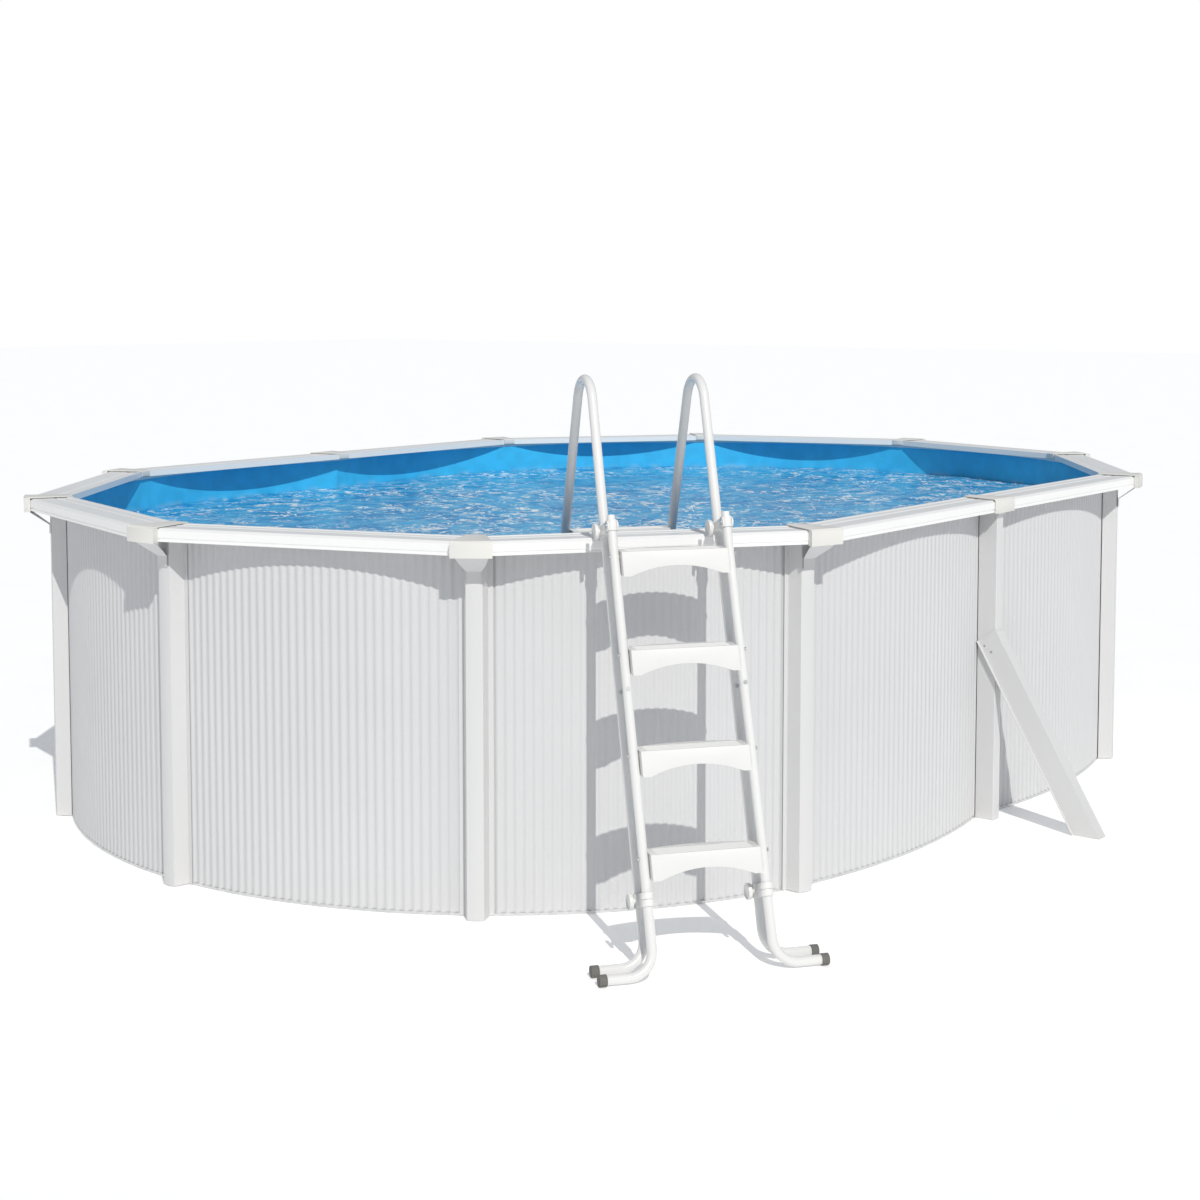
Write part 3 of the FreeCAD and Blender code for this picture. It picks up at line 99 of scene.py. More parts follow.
@dataclass
class NodeTree:
    """A thin builder round a node tree."""

    tree: bpy.types.NodeTree

    def add(self, kind: str, **values: object) -> bpy.types.Node:
        """Add one node.

        Args:
            kind: Blender's node type.
            values: Node properties to set.

        Returns:
            The new node.
        """
        node = self.tree.nodes.new(kind)
        for name, value in values.items():
            setattr(node, name, value)
        return node

    def link(self, source: bpy.types.NodeSocket, target: bpy.types.NodeSocket) -> None:
        """Join an output to an input."""
        self.tree.links.new(source, target)

    def math(self, operation: str, a: object, b: object = None,
             clamp: bool = False) -> bpy.types.NodeSocket:
        """Add a Math node.

        Args:
            operation: The Math operation.
            a: First socket or number.
            b: Second socket or number, where the operation has one.
            clamp: Whether to hold the result in 0 to 1.

        Returns:
            Its output.
        """
        node = self.add("ShaderNodeMath", operation=operation, use_clamp=clamp)
        for index, value in enumerate((a, b)):
            if value is None:
                continue
            if isinstance(value, bpy.types.NodeSocket):
                self.link(value, node.inputs[index])
            else:
                node.inputs[index].default_value = value
        return node.outputs[0]

    def ramp(self, source: bpy.types.NodeSocket, low: float, high: float) -> bpy.types.NodeSocket:
        """Stretch a value smoothly.

        Args:
            source: The value.
            low: What becomes 0.
            high: What becomes 1.

        Returns:
            The stretched value.
        """
        node = self.add("ShaderNodeMapRange", interpolation_type="SMOOTHSTEP")
        self.link(source, node.inputs["Value"])
        node.inputs["From Min"].default_value = low
        node.inputs["From Max"].default_value = high
        return node.outputs["Result"]

    def mix(self, factor: bpy.types.NodeSocket, a: object, b: object,
            blend: str = "MIX") -> bpy.types.NodeSocket:
        """Mix two colours.

        Args:
            factor: How much of b shows.
            a: First colour or socket.
            b: Second colour or socket.
            blend: Blend type.

        Returns:
            The mixed colour.
        """
        node = self.add("ShaderNodeMix", data_type="RGBA", blend_type=blend)
        self.link(factor, node.inputs[0])
        for index, value in ((6, a), (7, b)):
            if isinstance(value, bpy.types.NodeSocket):
                self.link(value, node.inputs[index])
            else:
                node.inputs[index].default_value = (*value, 1.0)
        return node.outputs[2]

    def noise(self, scale: float, detail: float = 4.0,
              stretch: Point = (1.0, 1.0, 1.0)) -> bpy.types.NodeSocket:
        """Noise over the object's own space.

        Args:
            scale: Cycles per metre.
            detail: Octaves.
            stretch: Scale along each axis.

        Returns:
            The noise value.
        """
        place = self.add("ShaderNodeTexCoord")
        mapping = self.add("ShaderNodeMapping")
        mapping.inputs["Scale"].default_value = stretch
        self.link(place.outputs["Object"], mapping.inputs["Vector"])
        texture = self.add("ShaderNodeTexNoise")
        texture.inputs["Scale"].default_value = scale
        texture.inputs["Detail"].default_value = detail
        self.link(mapping.outputs["Vector"], texture.inputs["Vector"])
        return texture.outputs["Fac"]


def make_group(name: str, inputs: dict[str, object], outputs: dict[str, str],
               build: Callable[[NodeTree, bpy.types.Node, bpy.types.Node], None]
               ) -> bpy.types.NodeTree:
    """Make one shader node group, or give back the one already made.

    Args:
        name: Name of the group.
        inputs: Input names and default values; a tuple is a colour.
        outputs: Output names and socket types.
        build: Fills the group in.

    Returns:
        The group's tree.
    """
    if name in bpy.data.node_groups:
        return bpy.data.node_groups[name]
    tree = bpy.data.node_groups.new(name, "ShaderNodeTree")
    for label, value in inputs.items():
        kind = "NodeSocketColor" if isinstance(value, tuple) else "NodeSocketFloat"
        socket = tree.interface.new_socket(label, in_out="INPUT", socket_type=kind)
        socket.default_value = value
    for label, kind in outputs.items():
        tree.interface.new_socket(label, in_out="OUTPUT", socket_type=kind)
    nodes = NodeTree(tree)
    build(nodes, nodes.add("NodeGroupInput"), nodes.add("NodeGroupOutput"))
    return tree


def outdoor_film() -> bpy.types.NodeTree:
    """Make the group of faint streaks, cloudy dust and splash near the ground.

    Returns:
        The group's tree.
    """

    def build(nodes: NodeTree, given: bpy.types.Node, out: bpy.types.Node) -> None:
        """Fill the group in.

        Args:
            nodes: The group's builder.
            given: Its input node.
            out: Its output node.
        """
        streaks = nodes.ramp(nodes.noise(7.0, 5.0, STREAK_STRETCH), 0.48, 0.72)
        clouds = nodes.ramp(nodes.noise(1.6, 5.0), 0.42, 0.70)
        place = nodes.add("ShaderNodeTexCoord")
        split = nodes.add("ShaderNodeSeparateXYZ")
        nodes.link(place.outputs["Object"], split.inputs[0])
        ragged = nodes.math("MULTIPLY", nodes.noise(9.0, 4.0), SPLASH_RAGGED)
        height = nodes.math("SUBTRACT", split.outputs["Z"], ragged)
        splash = nodes.math("SUBTRACT", 1.0, nodes.ramp(height, SPLASH_LOW, SPLASH_HIGH))
        film = nodes.math("ADD", nodes.math("MULTIPLY", streaks, given.outputs["Streaks"]),
                          nodes.math("MULTIPLY", clouds, given.outputs["Dust"]))
        film = nodes.math("ADD", film, nodes.math("MULTIPLY", splash, given.outputs["Splash"]),
                          clamp=True)
        colour = nodes.mix(film, given.outputs["Colour"], given.outputs["Soil"])
        nodes.link(colour, out.inputs["Colour"])
        nodes.link(film, out.inputs["Mask"])

    return make_group("outdoor_film",
                      {"Colour": (0.9, 0.9, 0.9, 1.0), "Soil": (0.5, 0.48, 0.44, 1.0),
                       "Streaks": 0.05, "Dust": 0.04, "Splash": 0.1},
                      {"Colour": "NodeSocketColor", "Mask": "NodeSocketFloat"}, build)


def skin_grain() -> bpy.types.NodeTree:
    """Make the group of the fine skin of a coated or moulded surface.

    Returns:
        The group's tree.
    """

    def build(nodes: NodeTree, given: bpy.types.Node, out: bpy.types.Node) -> None:
        """Fill the group in.

        Args:
            nodes: The group's builder.
            given: Its input node.
            out: Its output node.
        """
        place = nodes.add("ShaderNodeTexCoord")
        peel = nodes.add("ShaderNodeTexNoise")
        peel.inputs["Detail"].default_value = 3.0
        nodes.link(place.outputs["Object"], peel.inputs["Vector"])
        nodes.link(given.outputs["Scale"], peel.inputs["Scale"])
        broad = nodes.noise(5.0, 3.0)
        vary = nodes.math("MULTIPLY", nodes.math("SUBTRACT", broad, 0.5), given.outputs["Vary"])
        fine = nodes.math("MULTIPLY", nodes.math("SUBTRACT", peel.outputs["Fac"], 0.5),
                          given.outputs["Vary"])
        rough = nodes.math("ADD", given.outputs["Roughness"], nodes.math("ADD", vary, fine),
                           clamp=True)
        nodes.link(peel.outputs["Fac"], out.inputs["Height"])
        nodes.link(rough, out.inputs["Roughness"])

    return make_group("skin_grain", {"Scale": 400.0, "Roughness": 0.4, "Vary": 0.15},
                      {"Height": "NodeSocketFloat", "Roughness": "NodeSocketFloat"}, build)


@dataclass(frozen=True)
class Finish:
    """A surface: its colour, grain and how the weather has treated it."""

    name: str
    colour: Colour
    roughness: float = 0.4
    vary: float = 0.15
    grain: float = 400.0
    bump: float = 0.06
    bump_depth: float = 0.0004
    streaks: float = 0.03
    dust: float = 0.03
    splash: float = 0.10
    soil: Colour = (0.52, 0.50, 0.47)
    coat: float = 0.0
    metallic: float = 0.0
    paler: float = 1.03
    deeper: float = 0.96
    film_rough: float = 0.4

    def principled(self) -> tuple[bpy.types.Material, NodeTree, bpy.types.Node]:
        """Start a material.

        Returns:
            The material, its tree and its shader.
        """
        material = bpy.data.materials.new(self.name)
        material.use_nodes = True
        nodes = NodeTree(material.node_tree)
        shader = material.node_tree.nodes["Principled BSDF"]
        shader.inputs["Coat Weight"].default_value = self.coat
        shader.inputs["Metallic"].default_value = self.metallic
        return material, nodes, shader

    def tint(self, nodes: NodeTree) -> bpy.types.NodeSocket:
        """Colour before the weather, a little uneven all over.

        Args:
            nodes: The material's builder.

        Returns:
            The colour.
        """
        pale = tuple(min(1.0, part * self.paler) for part in self.colour)
        deep = tuple(part * self.deeper for part in self.colour)
        return nodes.mix(nodes.noise(2.3, 3.0), deep, pale)

    def height(self, nodes: NodeTree, grain: bpy.types.NodeSocket) -> bpy.types.NodeSocket:
        """Height that drives the bump."""
        return grain

    def build(self) -> bpy.types.Material:
        """Make the material.

        Returns:
            The finished material.
        """
        material, nodes, shader = self.principled()
        film = nodes.add("ShaderNodeGroup", node_tree=outdoor_film())
        film.inputs["Soil"].default_value = (*self.soil, 1.0)
        for label, value in (("Streaks", self.streaks), ("Dust", self.dust),
                             ("Splash", self.splash)):
            film.inputs[label].default_value = value
        nodes.link(self.tint(nodes), film.inputs["Colour"])
        nodes.link(film.outputs["Colour"], shader.inputs["Base Color"])
        skin = nodes.add("ShaderNodeGroup", node_tree=skin_grain())
        for label, value in (("Scale", self.grain), ("Roughness", self.roughness),
                             ("Vary", self.vary)):
            skin.inputs[label].default_value = value
        dusty = nodes.math("MULTIPLY", film.outputs["Mask"], self.film_rough)
        rough = nodes.math("ADD", skin.outputs["Roughness"], dusty, clamp=True)
        nodes.link(rough, shader.inputs["Roughness"])
        bump = nodes.add("ShaderNodeBump")
        bump.inputs["Strength"].default_value = self.bump
        bump.inputs["Distance"].default_value = self.bump_depth
        nodes.link(self.height(nodes, skin.outputs["Height"]), bump.inputs["Height"])
        nodes.link(bump.outputs["Normal"], shader.inputs["Normal"])
        return material


@dataclass(frozen=True)
class Galvanised(Finish):
    """Zinc with its crystal spangle."""

    metallic: float = 1.0
    spangle: float = 90.0
    deeper: float = 0.82

    def tint(self, nodes: NodeTree) -> bpy.types.NodeSocket:
        """Spangle in two greys.

        Args:
            nodes: The material's builder.

        Returns:
            The colour.
        """
        place = nodes.add("ShaderNodeTexCoord")
        cells = nodes.add("ShaderNodeTexVoronoi")
        cells.inputs["Scale"].default_value = self.spangle
        nodes.link(place.outputs["Object"], cells.inputs["Vector"])
        grey = nodes.add("ShaderNodeRGBToBW")
        nodes.link(cells.outputs["Color"], grey.inputs[0])
        dark = tuple(part * self.deeper for part in self.colour)
        return nodes.mix(grey.outputs[0], dark, self.colour)


@dataclass(frozen=True)
class Vinyl(Finish):
    """Liner film with a faint mottle, a tide line and soft creases."""

    tide: float = 1.05
    tide_width: float = 0.025
    tide_strength: float = 0.30
    deeper: float = 0.90
    crease_stretch: Point = (4.0, 4.0, 0.35)
    crease_height: float = 3.0

    def tint(self, nodes: NodeTree) -> bpy.types.NodeSocket:
        """Mottled blue that pales at the water line.

        Args:
            nodes: The material's builder.

        Returns:
            The colour.
        """
        mottle = nodes.ramp(nodes.noise(14.0, 6.0), 0.35, 0.65)
        deep = tuple(part * self.deeper for part in self.colour)
        blue = nodes.mix(mottle, deep, self.colour)
        place = nodes.add("ShaderNodeTexCoord")
        split = nodes.add("ShaderNodeSeparateXYZ")
        nodes.link(place.outputs["Object"], split.inputs[0])
        away = nodes.math("ABSOLUTE", nodes.math("SUBTRACT", split.outputs["Z"], self.tide))
        line = nodes.math("SUBTRACT", 1.0, nodes.ramp(away, 0.0, self.tide_width))
        broken = nodes.math("MULTIPLY", line, nodes.ramp(nodes.noise(11.0, 4.0), 0.4, 0.8))
        faint = nodes.math("MULTIPLY", broken, self.tide_strength)
        return nodes.mix(faint, blue, TIDE_MARK)

    def height(self, nodes: NodeTree, grain: bpy.types.NodeSocket) -> bpy.types.NodeSocket:
        """Creases that hang down the wall over the fine emboss."""
        crease = nodes.noise(3.0, 2.0, self.crease_stretch)
        return nodes.math("ADD", nodes.math("MULTIPLY", crease, self.crease_height), grain)


@dataclass(frozen=True)
class Water(Finish):
    """Blue water with a rippled bump; paler ripple marks, a painted reflection, and thin glint
    lines, painted highlights, are laid into its colour.
    """

    clear: float = 0.12
    ior: float = 1.12
    calm_rough: float = 0.03
    ripple_reflection_strength: float = 0.50
    # Sizes and widths of the painted highlight lines.
    crest_sizes: tuple[float, float] = (9.0, 17.0)
    crest_core: float = 0.012
    crest_edge: float = 0.036
    bump_stretch: Point = (1.0, 2.0, 1.0)
    deep: Colour = (0.012, 0.27, 0.62)
    # Colour of the painted reflection on the ripples.
    pale: Colour = (0.17, 0.57, 0.86)

    def crest(self, nodes: NodeTree, scale: float) -> bpy.types.NodeSocket:
        """Mask of thin painted highlight lines, standing for light caught on the tops of ripples of
        one size.
        """
        away = nodes.math("ABSOLUTE", nodes.math("SUBTRACT", nodes.noise(scale, 2.0), 0.5))
        return nodes.math("SUBTRACT", 1.0, nodes.ramp(away, self.crest_core, self.crest_edge))

    def build(self) -> bpy.types.Material:
        """Make the material.

        Returns:
            The finished material.
        """
        material, nodes, shader = self.principled()
        shader.inputs["Transmission Weight"].default_value = self.clear
        shader.inputs["IOR"].default_value = self.ior
        patches = nodes.ramp(nodes.noise(6.0, 3.0), 0.38, 0.60)
        # Painted reflection: paler ripple-sized marks mixed into the blue, standing for sky light
        # on the ripples.
        ripples = nodes.ramp(nodes.noise(15.0, 3.0), 0.46, 0.60)
        body = nodes.mix(patches, self.deep, self.colour)
        body = nodes.mix(nodes.math("MULTIPLY", ripples, self.ripple_reflection_strength), body, self.pale)
        # Painted highlights: thin glint lines, thinned out in patches, mixed into the water's
        # colour.
        spread = nodes.ramp(nodes.noise(1.7, 3.0), 0.28, 0.56)
        broad, small = (self.crest(nodes, size) for size in self.crest_sizes)
        lines = nodes.math("MAXIMUM", broad, small)
        broken = nodes.ramp(nodes.noise(13.0, 2.0), 0.44, 0.54)
        painted_glints = nodes.math("MULTIPLY", nodes.math("MULTIPLY", lines, broken), spread)
        nodes.link(nodes.mix(painted_glints, body, PAINTED_GLINT), shader.inputs["Base Color"])
        calm = nodes.math("MULTIPLY", patches, self.calm_rough)
        rough = nodes.math("ADD", self.roughness, calm)
        nodes.link(rough, shader.inputs["Roughness"])
        bump = nodes.add("ShaderNodeBump")
        bump.inputs["Strength"].default_value = self.bump
        bump.inputs["Distance"].default_value = self.bump_depth
        nodes.link(nodes.noise(38.0, 4.0, self.bump_stretch), bump.inputs["Height"])
        nodes.link(bump.outputs["Normal"], shader.inputs["Normal"])
        return material


FINISHES: dict[str, Finish] = {
    "wall_steel": Finish("wall_coating", (0.595, 0.598, 0.61), 0.42, streaks=0.02, dust=0.015,
                         splash=0.07),
    "rail_steel": Finish("rail_coating", (0.84, 0.84, 0.84), 0.34, coat=0.15),
    "upright_steel": Finish("upright_coating", (0.63, 0.63, 0.635), 0.36, streaks=0.02,
                            splash=0.08),
    "tube_steel": Finish("tube_enamel", (0.74, 0.74, 0.735), 0.22, coat=0.3, dust=0.02),
    "cap_plastic": Finish("cap_moulding", (0.72, 0.713, 0.685), 0.50, grain=900.0, bump=0.12),
    "step_plastic": Finish("step_moulding", (0.71, 0.71, 0.705), 0.48, grain=700.0, bump=0.15,
                           dust=0.05),
    "bracket_plastic": Finish("bracket_moulding", (0.76, 0.76, 0.75), 0.45, grain=900.0),
    "knob_plastic": Finish("knob_moulding", (0.76, 0.76, 0.75), 0.30, coat=0.2),
    "clip_plastic": Finish("clip_extrusion", (0.80, 0.82, 0.84), 0.45),
    "foot_rubber": Finish("foot_rubber", (0.055, 0.055, 0.052), 0.72, grain=500.0, bump=0.35,
                          dust=0.12, splash=0.15),
    "felt": Finish("needle_felt", (0.45, 0.46, 0.46), 0.95, grain=1500.0, bump=0.6,
                   bump_depth=0.001, dust=0.15),
    "track_steel": Galvanised("track_zinc", (0.80, 0.81, 0.82), 0.34, splash=0.2),
    "bar_steel": Galvanised("bar_zinc", (0.74, 0.75, 0.76), 0.40),
    "screw_steel": Galvanised("screw_zinc", (0.66, 0.66, 0.67), 0.32, streaks=0.0),
    "liner_vinyl": Vinyl("liner_vinyl", (0.048, 0.53, 0.90), 0.42, grain=250.0, bump=0.25,
                         bump_depth=0.002, streaks=0.0, dust=0.0, splash=0.0),
    "water": Water("pool_water", (0.055, 0.42, 0.78), 0.05, bump=0.60, bump_depth=0.006),
}


@dataclass
class Paint:
    """Makes each finish once and lays it on pieces."""

    made: dict[str, bpy.types.Material] = field(default_factory=dict)

    def get(self, slot: str) -> bpy.types.Material:
        """Find a slot's material, and make it when it is first asked for.

        Args:
            slot: Name of the record's material slot.

        Returns:
            The material.
        """
        if slot not in self.made:
            self.made[slot] = FINISHES[slot].build()
        return self.made[slot]

    def dress(self, piece: bpy.types.Object, slot: str) -> None:
        """Give a piece one material."""
        piece.data.materials.clear()
        piece.data.materials.append(self.get(slot))


# ---- mesh helpers ------------------------------------------------------------------------


def mesh_piece(name: str, points: list[Point], faces: Iterable[tuple[int, ...]],
               smooth: bool = True) -> bpy.types.Object:
    """Make an object from points and faces.

    Args:
        name: Name of the piece.
        points: Vertex places in metres.
        faces: Vertex numbers of each face.
        smooth: Whether its faces are shaded smooth.

    Returns:
        The new object.
    """
    mesh = bpy.data.meshes.new(name)
    mesh.from_pydata(points, [], list(faces))
    mesh.polygons.foreach_set("use_smooth", [smooth] * len(mesh.polygons))
    mesh.update()
    piece = bpy.data.objects.new(name, mesh)
    bpy.context.scene.collection.objects.link(piece)
    return piece


def loft(rings: list[list[Point]], close_rings: bool) -> tuple[list[Point], list[tuple[int, ...]]]:
    """Join closed rings of equal length with quads.

    Args:
        rings: The rings in order.
        close_rings: Whether the last ring joins the first.

    Returns:
        Points and faces.
    """
    count = len(rings[0])
    points = [point for ring in rings for point in ring]
    faces = []
    spans = len(rings) if close_rings else len(rings) - 1
    for row in range(spans):
        low, high = row * count, ((row + 1) % len(rings)) * count
        for column in range(count):
            after = (column + 1) % count
            faces.append((low + column, low + after, high + after, high + column))
    return points, faces


def keep_crisp(piece: bpy.types.Object, name: str) -> None:
    """Split the shading at the sharp edges of a piece.

    Args:
        piece: The piece.
        name: Name of its modifier.
    """
    split = piece.modifiers.new(name, "EDGE_SPLIT")
    split.split_angle = math.radians(CRISP_ANGLE)


@dataclass
class Softened:
    """Copy of a moulded CAD part with its edges rounded."""

    node: str
    body: str
    slot: str
    radius: float
    angle: float = 32.0
    segments: int = 2

    def build(self, frame: dict, paint: Paint) -> bpy.types.Object:
        """Make the copy, ride it and let it stand for the node.

        Args:
            frame: The loaded frame.
            paint: The finishes.

        Returns:
            The new piece.
        """
        mesh = frame["nodes"][self.node].data.copy()
        mesh.name = self.node + "_moulded"
        self.clean(mesh)
        piece = bpy.data.objects.new(mesh.name, mesh)
        bpy.context.scene.collection.objects.link(piece)
        self.round_edges(piece)
        paint.dress(piece, self.slot)
        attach(piece, self.body)
        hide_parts(self.node)
        return piece

    def clean(self, mesh: bpy.types.Mesh) -> None:
        """Weld the mesh and join its flat triangles into whole faces.

        Args:
            mesh: The mesh to clean.
        """
        work = bmesh.new()
        work.from_mesh(mesh)
        bmesh.ops.remove_doubles(work, verts=work.verts, dist=WELD)
        bmesh.ops.dissolve_limit(work, angle_limit=math.radians(FLAT_ANGLE), verts=work.verts,
                                 edges=work.edges)
        work.to_mesh(mesh)
        work.free()
        mesh.polygons.foreach_set("use_smooth", [True] * len(mesh.polygons))

    def round_edges(self, piece: bpy.types.Object) -> None:
        """Bevel the hard edges and even out the shading.

        Args:
            piece: The piece to round.
        """
        bevel = piece.modifiers.new("round", "BEVEL")
        bevel.width = self.radius
        bevel.segments = self.segments
        bevel.limit_method = "ANGLE"
        bevel.angle_limit = math.radians(self.angle)
        bevel.harden_normals = True
        bevel.use_clamp_overlap = True


# ---- pool --------------------------------------------------------------------------------


@dataclass
class WallLine:
    """Scalloped line of the pool wall, as six arcs run anticlockwise."""

    lobe_radius: float = 1.75
    turn: float = 36.0
    waist_out: float = 0.045
    side_bulge: float = 0.072
    sheet: float = 0.0012
    offset: float = 0.0
    arcs: list[tuple[Vector, float, float, float]] = field(default_factory=list)

    def __post_init__(self) -> None:
        """Work the arcs out from the wall's box."""
        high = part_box("wall_sheet")[1]
        self.offset = high.x - self.lobe_radius - self.sheet
        tip = math.radians(2 * self.turn)
        flat = self.lobe_radius * math.sin(tip)
        pitch = self.offset + self.lobe_radius * math.cos(tip)
        chord = math.hypot(pitch, self.waist_out)
        side_radius = (chord * chord / 4 + self.side_bulge ** 2) / (2 * self.side_bulge)
        sink = side_radius - self.side_bulge
        side_x = pitch / 2 - sink * self.waist_out / chord
        side_y = flat + self.waist_out / 2 - sink * pitch / chord
        first = math.atan2(flat - side_y, pitch - side_x)
        last = math.atan2(flat + self.waist_out - side_y, -side_x)
        for lobe in (1, -1):
            base = 0.0 if lobe > 0 else math.pi
            self.arcs.append((Vector((lobe * self.offset, 0)), self.lobe_radius,
                              base - tip, base + tip))
            self.arcs.append((Vector((lobe * side_x, lobe * side_y)), side_radius,
                              base + first, base + last))
            self.arcs.append((Vector((-lobe * side_x, lobe * side_y)), side_radius,
                              base + math.pi - last, base + math.pi - first))

    def run(self, outward: float, step: float) -> list[tuple[Vector, Vector, float]]:
        """Walk the line, moved outward.

        Args:
            outward: Distance outward of the wall line.
            step: Largest spacing of the stations.

        Returns:
            Place, outward direction and arc length of each station.
        """
        stations, travelled = [], 0.0
        for centre, radius, start, end in self.arcs:
            reach = radius + outward
            start, end = self.trim(centre, reach, start, end)
            length = radius * (end - start)
            count = max(2, math.ceil(length / step))
            for index in range(count):
                angle = start + (end - start) * index / count
                away = Vector((math.cos(angle), math.sin(angle)))
                stations.append((centre + away * reach, away, travelled + length * index / count))
            travelled += length
        return stations

    def trim(self, centre: Vector, reach: float, start: float,
             end: float) -> tuple[float, float]:
        """Stop a side arc where it meets its neighbour on the waist line x = 0.

        Args:
            centre: Centre of the arc.
            reach: Its radius once it has moved outward.
            start: Its first angle.
            end: Its last angle.

        Returns:
            The angles to use.
        """
        if abs(abs(centre.x) - self.offset) < SAME_PLACE:
            return start, end
        back_side = start < math.pi
        swing = math.asin(centre.x / reach)
        waist = math.pi / 2 + swing if back_side else 3 * math.pi / 2 - swing
        if (centre.x > 0) == back_side:
            return start, waist
        return waist, end


@dataclass
class Wall:
    """Corrugated steel sheet of the wall."""

    line: WallLine
    pitch: float = 0.030
    depth: float = 0.0019
    gauge: float = 0.0006
    samples: int = 10
    levels: int = 3
    squareness: float = 1.7

    def build(self, paint: Paint) -> bpy.types.Object:
        """Make the sheet.

        Args:
            paint: The finishes.

        Returns:
            The wall piece.
        """
        low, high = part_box("wall_sheet")
        stations = self.line.run(self.line.sheet / 2, self.pitch / self.samples)
        total = stations[-1][2]
        waves = round(total / self.pitch)
        outer, inner = [], []
        for place, away, along in stations:
            shift = self.depth * self.wave(along / total * waves)
            outer.append(place + away * shift)
            inner.append(place + away * (shift - self.gauge))
        rings = []
        for index in range(self.levels + 1):
            z = low.z + (high.z - low.z) * index / self.levels
            rings.append([(p.x, p.y, z) for p in outer])
        for z in (high.z, low.z):
            rings.append([(p.x, p.y, z) for p in inner])
        piece = mesh_piece("corrugated_wall", *loft(rings, True))
        keep_crisp(piece, "crisp")
        paint.dress(piece, "wall_steel")
        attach(piece, Body.POOL.value)
        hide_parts("wall_sheet")
        return piece

    def wave(self, turns: float) -> float:
        """Rolled corrugation: broad flats with quick rounded steps between them."""
        swing = math.tanh(self.squareness * math.sin(2 * math.pi * turns))
        return swing / math.tanh(self.squareness)


@dataclass
class WaterBody:
    """The water, a closed volume with a rippled top."""

    line: WallLine
    level: float = 1.05
    inset: float = -0.0075
    rings: int = 110
    step: float = 0.022
    swell: float = 0.0065
    chop: float = 0.0042
    liner: float = 0.001
    floor_gap: float = 0.0015
    swell_waves: tuple[float, float] = (2.1, 3.4)
    chop_waves: tuple[float, float] = (8.0, 15.0)
    chop_slant: float = 0.6
    small_waves: tuple[float, float] = (19.0, 31.0)
    small_share: float = 0.45

    def build(self, paint: Paint) -> bpy.types.Object:
        """Make the water.

        Args:
            paint: The finishes.

        Returns:
            The water piece.
        """
        edge = [place for place, _, _ in self.line.run(self.inset, self.step)]
        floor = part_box("ground_felt")[1].z + self.liner + self.floor_gap
        rings = [[(p.x, p.y, floor) for p in edge]]
        for index in range(self.rings):
            share = 1.0 - index / self.rings
            rings.append([self.surface(p * share) for p in edge])
        points, faces = loft(rings, False)
        count = len(edge)
        self.close(points, faces, count, floor)
        piece = mesh_piece("pool_water", points, faces)
        keep_crisp(piece, "edge")
        paint.dress(piece, "water")
        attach(piece, Body.POOL.value)
        return piece

    def surface(self, place: Vector) -> Point:
        """Raise a place to the rippled surface.

        Args:
            place: Place in plan.

        Returns:
            The point on the surface.
        """
        x, y = place.x, place.y
        long_x, long_y = self.swell_waves
        short_x, short_y = self.chop_waves
        small_x, small_y = self.small_waves
        swell = noise.noise(Vector((x * long_x, y * long_y, 4.0)))
        chop = noise.noise(Vector((x * short_x + self.chop_slant * y, y * short_y, 9.0)))
        small = noise.noise(Vector((x * small_x, y * small_y, 2.0)))
        ripple = self.chop * (chop + self.small_share * small)
        return x, y, self.level + self.swell * swell + ripple

    def close(self, points: list[Point], faces: list[tuple[int, ...]], count: int,
              floor: float) -> None:
        """Add the middle of the surface and the flat bottom.

        Args:
            points: Points so far, added to.
            faces: Faces so far, added to.
            count: Points in each ring.
            floor: Height of the bottom.
        """
        top_centre = len(points)
        points.append(self.surface(Vector((0.0, 0.0))))
        points.append((0.0, 0.0, floor))
        last = top_centre - count
        for column in range(count):
            after = (column + 1) % count
            faces.append((last + column, last + after, top_centre))
            faces.append((after, column, top_centre + 1))


# ---- ladder ------------------------------------------------------------------------------


@dataclass
class TreadRibs:
    """Raised anti-slip ribs along the top of one tread."""

    name: str
    body: str
    frame: Matrix
    half: float = 0.150
    width: float = 0.0045
    height: float = 0.0012
    rows: int = 6
    front: float = 0.018
    spacing: float = 0.0095
    root: float = 0.0005
    end_slope: float = 0.003
    round_share: float = 0.35

    def build(self, paint: Paint) -> bpy.types.Object:
        """Make all the ribs of one tread as one piece.

        Args:
            paint: The finishes.

        Returns:
            The ribs.
        """
        points: list[Point] = []
        faces: list[tuple[int, ...]] = []
        for row in range(self.rows):
            self.rib(points, faces, self.front - row * self.spacing)
        piece = mesh_piece(self.name, points, faces, smooth=False)
        bevel = piece.modifiers.new("round", "BEVEL")
        bevel.width = self.height * self.round_share
        bevel.segments = 2
        paint.dress(piece, "step_plastic")
        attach(piece, self.body)
        return piece

    def rib(self, points: list[Point], faces: list[tuple[int, ...]], y: float) -> None:
        """Add one rib that narrows to its top.

        Args:
            points: Points so far, added to.
            faces: Faces so far, added to.
            y: Middle of the rib across the tread.
        """
        first = len(points)
        half, crown = self.width / 2, self.width / 4
        foot = (-self.root, half, self.half)
        top = (self.height, crown, self.half - self.end_slope)
        for z, spread, reach in (foot, top):
            for x, side in ((-reach, -spread), (reach, -spread), (reach, spread), (-reach, spread)):
                points.append(tuple(self.frame @ Vector((x, y + side, z))))
        for index in range(4):
            after = (index + 1) % 4
            faces.append((first + index, first + after, first + 4 + after, first + 4 + index))
        faces.append(tuple(first + index for index in (3, 2, 1, 0)))
        faces.append(tuple(first + index for index in (4, 5, 6, 7)))


